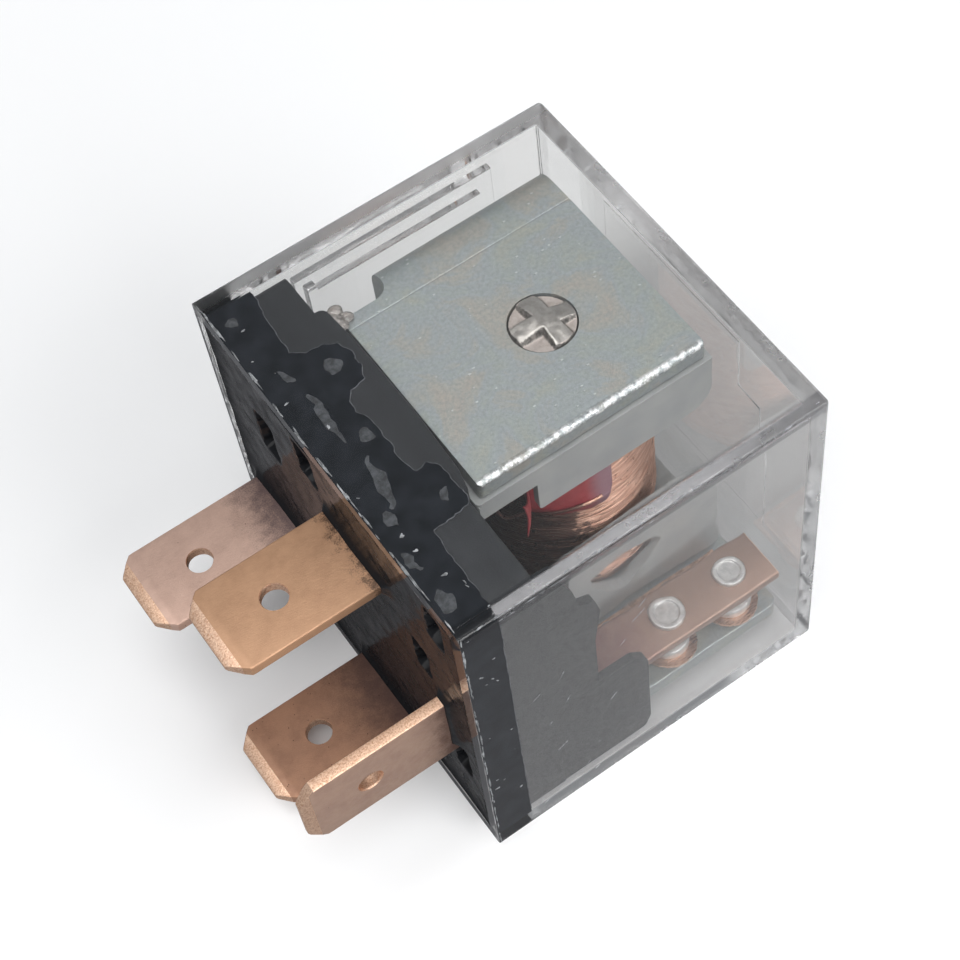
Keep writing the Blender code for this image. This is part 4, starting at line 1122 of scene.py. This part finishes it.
def make_core(finish, walls, flats):
    """The iron core. Its neck is staked over the plate: a raised cross between four sunk quadrants."""
    top = YOKE_HIGH.z
    radius = (CORE_HIGH.x - CORE_LOW.x) / 2
    profile = [(0, CORE_LOW.z), (radius - 0.2, CORE_LOW.z), (radius, CORE_LOW.z + 0.2), (radius, top - 1.6)]
    profile += [(2.05, top - 1.55), (2.05, top - 0.5), (0, top - 0.5)]
    soften(make("pole_core", lathe(profile, (COIL.x, COIL.y)), finish, ["core"]), 0.05, 2)
    count = 132
    steps = 51
    bm = bmesh.new()
    rings = []
    for index in range(steps + 1):
        ring = []
        for x, y in circle((0, 0), STAKE_RADIUS * (index / steps), count if index else 1):
            ring.append(bm.verts.new((COIL.x + x, COIL.y + y, top + stake_height(x, y))))
        rings.append(ring)
    rings.append([bm.verts.new((v.co.x, v.co.y, top - 0.7)) for v in rings[-1]])
    skin(bm, rings, count)
    bm.faces.new(rings[-1])
    head = make("staked_head", bm, [finish, walls, flats], angle=30.0)
    # steep faces take the painted shade, low flat ones the quadrant finish, the rest the crown's iron
    for face in head.data.polygons:
        sloping = face.normal.z < 0.72
        low = face.center.z < (top + 0.12) * MM
        face.material_index = 1 if sloping else 2 if low else 0


def stake_height(x, y):
    """Height of the staked head over the plate, from its own centre: a crowned cross with flat quadrants."""
    turn = math.radians(-5.0)
    b = y * math.cos(turn) - x * math.sin(turn)
    turn = math.radians(3.0)
    a = x * math.cos(turn) + y * math.sin(turn)
    radius = math.hypot(x, y)
    arm = 0.66 + 0.14 * noise.noise(Vector((x * 0.9, y * 0.9, 0.0)))
    along = step_up(arm - abs(b + 0.05)) * step_up(2.02 - abs(a))
    across = step_up(arm - abs(a - 0.20)) * step_up(2.02 - abs(b))
    rise = max(along, across)
    crown = 0.46 - 0.085 * radius * radius + 0.08 * noise.noise(Vector((x * 1.3, y * 1.3, 8.0)))
    floor = -0.16 - 0.16 * noise.noise(Vector((0.8 if a > 0 else -0.8, 0.8 if b > 0 else -0.8, 2.0)))
    height = floor + rise * (crown - floor)
    height += 0.018 * noise.noise(Vector((x * 2.6, y * 2.6, 3.0)))
    height -= 0.30 * max(0.0, radius - 2.0) / 0.12
    return min(height, CORE_HIGH.z - YOKE_HIGH.z + 0.4)


def step_up(distance, blur=0.08):
    """A soft step from 0 to 1 where a distance passes 0."""
    return 1.0 / (1.0 + math.exp(-max(min(distance / blur * 2.0, 40.0), -40.0)))


# ---------------------------------------------------------------- coil


def make_bobbin(finish):
    """The moulded spool: flanges, a tube, the stepped near skirt and the apron below it."""
    low = BOBBIN_LOW
    high = BOBBIN_HIGH
    plan = rounded(rectangle((low.x, low.y), (high.x, high.y)), [0.3, 0.15, 1.2, 0.5], 8)
    spool = make("bobbin_spool", prism(plan, "Z", high.z - FLANGE, high.z), finish, ["bobbin"])
    plan = rounded(rectangle((WINDING_LOW.x - 1.0, low.y), (high.x, high.y)), [0.5, 0.2, 1.2, 1.2], 8)
    carve(spool, prism(plan, "Z", low.z, low.z + FLANGE), "UNION")
    carve(spool, prism(circle((COIL.x, COIL.y), 3.8, 48), "Z", low.z + 0.2, high.z - 0.2), "UNION")
    start = low.x + 0.1
    end = high.x - 0.08
    under = high.z - 0.3
    skirt = [(start, under), (start, 8.75), (10.3, 8.75), (10.3, 6.05), (end, 6.05), (end, under)]
    skirt = rounded(skirt, [0.0, 0.3, 0.0, 0.25, 1.6, 0.0], 7)
    apron = [(11.2, low.z + 0.3), (11.2, -1.9), (18.2, -1.44), (end, -1.2), (end, low.z + 0.3)]
    apron = rounded(apron, [0.0, 0.5, 0.0, 1.6, 0.0], 7)
    for outline in (skirt, apron):
        carve(spool, prism(outline, "Y", low.y, low.y + SKIRT_THICKNESS), "UNION")
    window = [(12.9, -4.2), (13.2, -5.6), (15.0, -7.1), (16.8, -6.2), (18.3, -4.2), (15.5, -3.3)]
    window = [(p.x, p.y) for p in smooth_path([*window, window[0]], 5)[:-1]]
    carve(spool, prism(window, "Y", low.y - 1, low.y + SKIRT_THICKNESS + 0.2))
    carve(spool, rod(3.05, low.z - 1, high.z + 1, (COIL.x, COIL.y), steps=48))
    soften(spool, 0.12, 3, 42.0)


def around_coil(radius, turn, z):
    """A point at an angle round the coil's axis."""
    return Vector((COIL.x + radius * math.cos(turn), COIL.y + radius * math.sin(turn), z))


def make_winding(wire, dark):
    """The outer layer of fine wire, one long helix that wanders a little, over a dark under-layer."""
    reach = WINDING_RADIUS - WIRE
    low = WINDING_LOW.z + WIRE
    high = WINDING_HIGH.z - WIRE
    bm = bmesh.new()
    pitch = WIRE * 1.93
    turns = int((high - low) / pitch)
    facets = 72
    path = []
    for step in range(turns * facets + 1):
        done = step / facets
        turn = 2 * math.pi * done
        level = low + done * (high - low) / turns
        crown = 0.18 * (abs(level - (low + high) / 2) / (high - low) * 2) ** 6
        spot = Vector((math.cos(turn) * 1.6, math.sin(turn) * 1.6, level * 0.9))
        wander = noise.noise(spot + Vector((0, 0, done * 0.31)))
        lift = noise.noise(spot * 1.4 + Vector((7.0, 0, done * 1.7)))
        z = level + pitch * 0.55 * wander
        path.append(around_coil(reach - crown - 0.04 + 0.045 * lift, turn, min(max(z, low), high)))
    join_into(bm, loft(tube_rings(path, WIRE, 5)))
    for _ in range(16):
        start = RANDOM.uniform(-2.9, -1.5)
        sweep = RANDOM.uniform(0.7, 1.6)
        level = RANDOM.uniform(low + 1.0, high - 2.0)
        rise = RANDOM.uniform(0.3, 1.3)
        path = []
        for step in range(31):
            share = step / 30
            dive = 0.09 * math.sin(math.pi * share) ** 0.5
            path.append(around_coil(reach - 0.06 + dive, start + sweep * share, level + rise * ease(share)))
        join_into(bm, loft(tube_rings(path, WIRE * 0.9, 5)))
    make("winding_turns", bm, wire, ["winding"], angle=180.0)
    inner = reach - 0.16
    profile = [(0, low), (inner - 0.2, low), (inner, low + 0.6)]
    profile += [(inner, high - 0.6), (inner - 0.2, high), (0, high)]
    under = make("winding_under", lathe(profile, (COIL.x, COIL.y), steps=64), dark)
    carve(under, prism(circle((COIL.x, COIL.y), 3.9, 48), "Z", low - 1, high + 1))


def curved_sheet(name, rows, finish, replaces=()):
    """A thin closed sheet from rows of points, thickened along its own normals."""
    bm = bmesh.new()
    made = [[bm.verts.new(point) for point in row] for row in rows]
    for row, after in zip(made, made[1:]):
        for index in range(len(row) - 1):
            bm.faces.new((row[index], row[index + 1], after[index + 1], after[index]))
    sheet = make(name, bm, finish, replaces)
    solid = sheet.modifiers.new("Thickness", "SOLIDIFY")
    solid.thickness = 0.1 * MM
    solid.offset = 0.0


def make_tape(finish):
    """Red tape round part of the winding, and the flag where its end stands off."""
    radius = WINDING_RADIUS + 0.10
    start = math.radians(-140.0)
    end = math.radians(-91.0)
    rows = []
    for step in range(31):
        share = step / 30
        low = 0.9 + 0.12 * noise.noise(Vector((share * 4, 0, 0)))
        round_end = max(0.0, (share - 0.86) / 0.14)
        low += 1.6 * (1 - math.sqrt(max(0.0, 1 - round_end**2)))
        row = []
        for level in range(13):
            z = low + (8.6 - low) * level / 12
            lift = radius + 0.04 * noise.noise(Vector((share * 6, z * 0.5, 2.0)))
            row.append(around_coil(lift, start + (end - start) * share, z))
        rows.append(row)
    curved_sheet("insulating_tape_band", rows, finish, ["insulating_tape"])
    root = around_coil(radius, start, 0)
    out = Vector((-0.55, -0.84, 0.0))
    rows = []
    for step in range(13):
        share = step / 12
        bow = Vector((0.8, -0.5, 0)) * math.sin(math.pi * share) * 0.22
        row = []
        for level in range(9):
            z = 2.6 + (1.0 - 0.35 * math.sin(math.pi * share)) * 3.6 * level / 8 - 0.5 * share
            curl = Vector((0.25, 0.1, 0)) * math.sin(math.pi * level / 8) * share
            row.append(root + out * (2.5 * share) + bow + curl + Vector((0, 0, z)))
        rows.append(row)
    curved_sheet("insulating_tape_flag", rows, finish)


def make_leads(finish):
    """The winding's two ends, on their way to the coil posts."""
    reach = WINDING_RADIUS + 0.25
    start = around_coil(reach, math.radians(-146.0), 0.0)
    across = []
    for step in range(9):
        across.append(around_coil(reach, math.radians(-98.0 - 44.0 * step / 8), 1.9 - 0.13 * step))
    low, high = cad("coil_lead_start")
    upper = [*across, (low.x + 1.2, low.y + 0.2, 2.6), (low.x + 0.15, low.y + 0.15, high.z - 0.3)]
    low, high = cad("coil_lead_end")
    lower = [
        (start.x, start.y, high.z - 0.1),
        (start.x - 1.3, start.y - 0.5, high.z - 0.8),
        (low.x + 0.6, low.y + 0.2, -9.2),
        (low.x + 0.25, low.y + 0.2, low.z + 0.15),
    ]
    for name, points in (("start", upper), ("end", lower)):
        bm = loft(tube_rings(smooth_path(points, 8), 0.11, 8))
        make(f"coil_wire_{name}", bm, finish, [f"coil_lead_{name}"])


# ---------------------------------------------------------------- contacts and rivets


def make_fixed_contacts(finish):
    for number, (outer, dish) in enumerate(((1.18, 0.80), (1.06, 0.70)), 1):
        node = f"fixed_contact_{number}"
        low, high = cad(node)
        under = high.z - 0.35 - BLADE_THICKNESS - 0.02
        head = 1.4
        levels = [
            (0, low.z), (head * 0.75, low.z + 0.03), (head - 0.10, low.z + 0.14), (head, low.z + 0.34),
            (head, under), (0.8, under), (0.8, high.z - 0.33), (outer, high.z - 0.33), (outer, high.z - 0.10),
            (outer - 0.07, high.z), (dish + 0.05, high.z), (dish, high.z - 0.13), (dish * 0.55, high.z - 0.14),
            (0, high.z - 0.12),
        ]
        bm = lathe(levels, axis_of(node, "Z"), "Z", 40)
        piece = make(f"fixed_contact_rivet_{number}", bm, finish, [node])
        soften(piece, 0.05, 2, 35.0)


def make_yoke_rivets(finish):
    inner = YOKE_HIGH.y - STEEL - 0.03
    for node in LEG_RIVETS:
        low, high = cad(node)
        outer = high.y - 0.3
        levels = [
            (0, low.y), (0.55, low.y + 0.02), (0.78, low.y + 0.14), (0.8, inner), (0.5, inner), (0.5, outer),
            (0.8, outer), (0.78, high.y - 0.14), (0.52, high.y - 0.02), (0, high.y),
        ]
        bm = lathe(levels, axis_of(node, "Y"), "Y", 40)
        soften(make(node.replace("_rivet", "_stake"), bm, finish, [node]), 0.05, 2, 35.0)


# ---------------------------------------------------------------- armature


def on_armature(point):
    """Turns a point drawn in the closed position down to where the armature rests."""
    turn = Matrix.Rotation(OPEN_ANGLE, 3, "X")
    pivot = Vector((0.0, HINGE.y, HINGE.z))
    return turn @ (Vector(point) - pivot) + pivot


def rested(bm):
    for vert in bm.verts:
        vert.co = on_armature(vert.co)
    return bm


def make_armature(finish):
    """The swinging plate under the coil, with edges rolled by the press."""
    low_x = ARMATURE_LOW.x
    high_x = ARMATURE_HIGH.x
    far = ARMATURE_HIGH.y - 0.06
    near = -11.6
    plan = [(low_x, near), (high_x, near), (high_x, far - 3.0), (high_x - 1.2, far), (low_x + 1.2, far)]
    plan = rounded([*plan, (low_x, far - 3.0)], [0.7, 0.7, 0.6, 0.4, 0.4, 0.6], 6)
    plate = rested(prism(plan, "Z", ARMATURE_TOP - STEEL, ARMATURE_TOP))
    armature = make("armature_plate", plate, finish, ["armature"], "armature")
    drill(armature, SPRING_RIVETS + HEEL_RIVETS, 0.56, -14.0, -8.0)
    soften(armature, 0.2, 4, 40.0)


def make_contact_spring(finish):
    """The spring bridge: a riveted root, a joggle and two round-ended fingers."""
    xs = [sum(corner.x for corner in cad(f"moving_contact_{number}")) / 2 for number in (1, 2)]
    lobe = 1.9
    low_x = xs[0] - lobe - 2.0
    high_x = xs[1] + lobe
    floor = ARMATURE_TOP + 0.05
    high = floor + SPRING_LIFT
    line = [(-6.2, floor), (-7.2, floor), (-8.1, floor + 0.02), (-8.45, floor + 0.35)]
    line = smooth_path([*line, (-8.8, high), (-10.0, high), (-11.9, high)], 5)
    profile = [(p.x, p.y) for p in line] + [(p.x, p.y + SPRING_THICKNESS) for p in reversed(line)]
    bm = prism(profile, "X", low_x, high_x)
    spring = make("contact_bridge", bm, finish, ["contact_spring"], "armature")
    plan = [(low_x + 0.1, -6.0), (high_x - 0.3, -6.0), (high_x - 0.3, -8.0)]
    for x in reversed(xs):
        plan += [(x + lobe * 0.8, -8.2), (x + lobe, -9.2)]
        for step in range(11):
            turn = -math.pi * step / 10
            plan.append((x + lobe * math.cos(turn), CONTACT_Y + lobe * math.sin(turn)))
        plan += [(x - lobe, -9.2), (x - lobe * 0.8, -8.2)]
    plan.append((low_x + 0.1, -8.0))
    carve(spring, prism(plan, "Z", floor - 1.0, high + 1.0), "INTERSECT")
    for vert in spring.data.vertices:
        vert.co = on_armature(vert.co / MM) * MM
    soften(shade(spring, 35.0), 0.04, 2, 50.0)


def turned_on_armature(name, node, levels, y, steps, finish, slot):
    """A turned piece that stands square on the armature, over a CAD node's X."""
    bm = rested(lathe(levels, (middle(node).x, y), "Z", steps))
    return make(name, bm, finish, [node], "armature")


def make_moving_contacts(finish):
    top = ARMATURE_TOP + 0.05 + SPRING_LIFT + SPRING_THICKNESS
    closed = cad("fixed_contact_1")[0].z - 0.05
    levels = [
        (0, top - 0.6), (0.7, top - 0.58), (0.8, top - 0.45), (0.8, top - 0.27), (0.5, top - 0.27),
        (0.5, top + 0.02), (1.4, top + 0.02), (1.4, closed - 0.30), (1.28, closed - 0.12),
        (0.9, closed - 0.03), (0, closed),
    ]
    for number in (1, 2):
        names = (f"moving_contact_tip_{number}", f"moving_contact_{number}")
        piece = turned_on_armature(*names, levels, CONTACT_Y, 40, finish, "contact_silver")
        soften(piece, 0.04, 2, 35.0)


def make_armature_rivets(finish):
    under = ARMATURE_TOP - STEEL
    over = ARMATURE_TOP + 0.05 + SPRING_THICKNESS
    spring_levels = [
        (0, under - 0.33), (0.5, under - 0.31), (0.78, under - 0.2), (0.8, under - 0.02), (0.5, under - 0.02),
        (0.5, over + 0.02), (0.8, over + 0.02), (0.78, over + 0.2), (0.5, over + 0.31), (0, over + 0.33),
    ]
    under -= 0.05
    heel_levels = [
        (0, under - 0.5), (0.5, under - 0.48), (0.74, under - 0.36), (0.8, under - 0.1), (0.8, under - 0.02),
        (0.5, under - 0.02), (0.5, ARMATURE_TOP - 0.35), (0, ARMATURE_TOP - 0.35),
    ]
    for nodes, levels, y in ((SPRING_RIVETS, spring_levels, -7.25), (HEEL_RIVETS, heel_levels, 6.0)):
        for node in nodes:
            turned_on_armature(node.replace("_rivet", "_stake"), node, levels, y, 32, finish, "soft_iron")


def make_return_spring(finish):
    """The leaf from the yoke's leg, round the heel and back under the armature."""
    low, high = cad("return_spring")
    leg = YOKE_HIGH.y + 0.05
    under = low.z + 0.1
    line = [
        (leg, high.z), (leg, high.z - 1.6), (leg, high.z - 3.1), (leg + 0.28, high.z - 3.9),
        (leg + 0.55, high.z - 4.7), (leg + 0.5, under + 0.75), (leg + 0.05, under + 0.15),
        (leg - 0.8, under), (leg - 3.0, under + 0.06), (low.y, under + 0.16),
    ]
    line = smooth_path(line, 6)
    thick = 0.2
    rings = []
    for index, point in enumerate(line):
        before = line[max(index - 1, 0)]
        after = line[min(index + 1, len(line) - 1)]
        along = (after - before).normalized()
        side = Vector((-along.y, along.x)) * thick / 2
        ring = []
        for x, sign in ((low.x, -1), (high.x, -1), (high.x, 1), (low.x, 1)):
            ring.append((x, point.x + side.x * sign + thick / 2, point.y + side.y * sign))
        rings.append(ring)
    leaf = make("return_leaf", loft(rings), finish, ["return_spring"], None)
    drill(leaf, LEG_RIVETS[2:], 0.54, 10.0, 12.5, "Y")
    drill(leaf, HEEL_RIVETS, 0.9, -13.0, -11.0)
    shade(leaf, 40.0)
    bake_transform(leaf)


# ---------------------------------------------------------------- small drops of clear glue


def make_drops(finish):
    """Clear glue where the yoke meets the base at its far corner."""
    spots = ((6.3, 8.6, 12.1, 0.55), (6.8, 9.2, 11.9, 0.45), (7.1, 8.4, 12.15, 0.35), (6.6, 7.9, 12.2, 0.30))
    for index, (x, y, z, size) in enumerate(spots, 1):
        bm = bmesh.new()
        bmesh.ops.create_icosphere(bm, subdivisions=4, radius=size)
        for vert in bm.verts:
            lump = 1 + 0.35 * noise.noise(vert.co * 1.7 + Vector((index * 3.0, 0, 0)))
            vert.co = Vector((vert.co.x * lump, vert.co.y * lump, vert.co.z * 0.55 * lump)) + Vector((x, y, z))
        make(f"glue_drop_{index}", bm, finish, angle=180.0)


# ---------------------------------------------------------------- stage


def make_floor(finish):
    bm = bmesh.new()
    bmesh.ops.create_grid(bm, x_segments=2, y_segments=2, size=1500.0)
    for vert in bm.verts:
        vert.co.z = COVER_LOW.z - FLOOR_GAP
    make("floor", bm, finish, (), None, angle=0)


def area_light(name, position, size, power):
    """A white softbox that faces the middle of the part."""
    data = bpy.data.lights.new(name, "AREA")
    data.shape = "RECTANGLE"
    data.size, data.size_y = size
    data.energy = power
    light = link(name, data)
    light.location = position
    facing = Vector((0.012, 0.0, 0.0)) - Vector(position)
    light.rotation_euler = facing.to_track_quat("-Z", "Y").to_euler()


def make_world():
    """A dim room, a little brighter overhead than at the sides."""
    world = bpy.data.worlds.new("studio")
    bpy.context.scene.world = world
    world.use_nodes = True
    nodes = world.node_tree.nodes
    links = world.node_tree.links
    parts = nodes.new("ShaderNodeSeparateXYZ")
    links.new(nodes.new("ShaderNodeTexCoord").outputs["Generated"], parts.inputs[0])
    ramp = nodes.new("ShaderNodeValToRGB")
    links.new(parts.outputs["Z"], ramp.inputs["Fac"])
    for element, tone in zip(ramp.color_ramp.elements, ((0.34, 0.35, 0.37), (0.25, 0.26, 0.27))):
        element.color = (*tone, 1.0)
    links.new(ramp.outputs["Color"], nodes["Background"].inputs["Color"])
    nodes["Background"].inputs["Strength"].default_value = 1.0


def set_light_paths():
    """Long enough paths for light that runs along inside the cover's walls."""
    cycles = bpy.context.scene.cycles
    cycles.max_bounces = 48
    cycles.glossy_bounces = 40
    cycles.transmission_bounces = 24
    cycles.transparent_max_bounces = 24
    cycles.caustics_refractive = True
    cycles.caustics_reflective = True


def make_camera():
    """Looks down on the relay from its terminal side, as one does at a part on a bench."""
    data = bpy.data.cameras.new("camera")
    data.lens = 83.13
    data.sensor_width = 36.0
    data.clip_start = 0.005
    data.clip_end = 10.0
    camera = link("camera", data)
    place = (-0.02192, -0.06358, 0.11747)
    right = Vector((0.8210, -0.5645, -0.0859))
    up = Vector((0.5207, 0.6785, 0.5182))
    back = right.cross(up).normalized()
    up = back.cross(right).normalized()
    turn = Matrix((right.normalized(), up, back)).transposed()
    camera.matrix_world = Matrix.Translation(place) @ turn.to_4x4()
    bpy.context.scene.camera = camera


def build():
    steel = zinc()
    iron = plain("staked_iron", (4.0, 0.32, 0.52))
    wire = enamelled_wire()
    bronze = spring_bronze()
    silver = plain("contact_silver", (5.0, 0.28, 0.46))
    bright = plain("cut_copper_and_glint")
    strip = strip_copper()

    make_camera()
    make_cover(clear_plastic())
    make_potting(black_epoxy())
    film = plain("wet_epoxy", Specular_IOR_Level=0.0)
    make_films(film, dried_resin("dried_resin", (0.10, 0.105, 0.115)), dried_resin("dry_patch", (0.047, 0.051, 0.056)))
    make_scuffs(dried_resin("rim_scuffs", (0.30, 0.31, 0.32)))
    make_base(black_moulding())
    for name, looks in COPPERS.items():
        make_blade(name, copper(*looks), bright)
    make_strip(strip, bright)
    make_tongue(strip)
    make_post("86", "coil_lead_start", strip)
    make_post("85", "coil_lead_end", strip)
    make_yoke(steel)
    make_core(iron, plain("painted_shade_iron"), plain("staked_flat"))
    make_bobbin(white_nylon())
    make_winding(wire, plain("winding_shadow"))
    make_tape(red_tape())
    make_leads(wire)
    make_fixed_contacts(silver)
    make_yoke_rivets(iron)
    make_armature(steel)
    make_contact_spring(bronze)
    make_moving_contacts(silver)
    make_armature_rivets(iron)
    make_return_spring(bronze)
    make_drops(clear_glue())
    make_floor(pale_floor())
    area_light("overhead", (-0.16, -0.06, 0.60), (0.50, 0.50), 2.85)
    area_light("front", (0.15, -0.46, 0.34), (0.50, 0.30), 2.1)
    make_world()
    set_light_paths()
    bpy.context.scene.view_settings.view_transform = "Standard"


build()
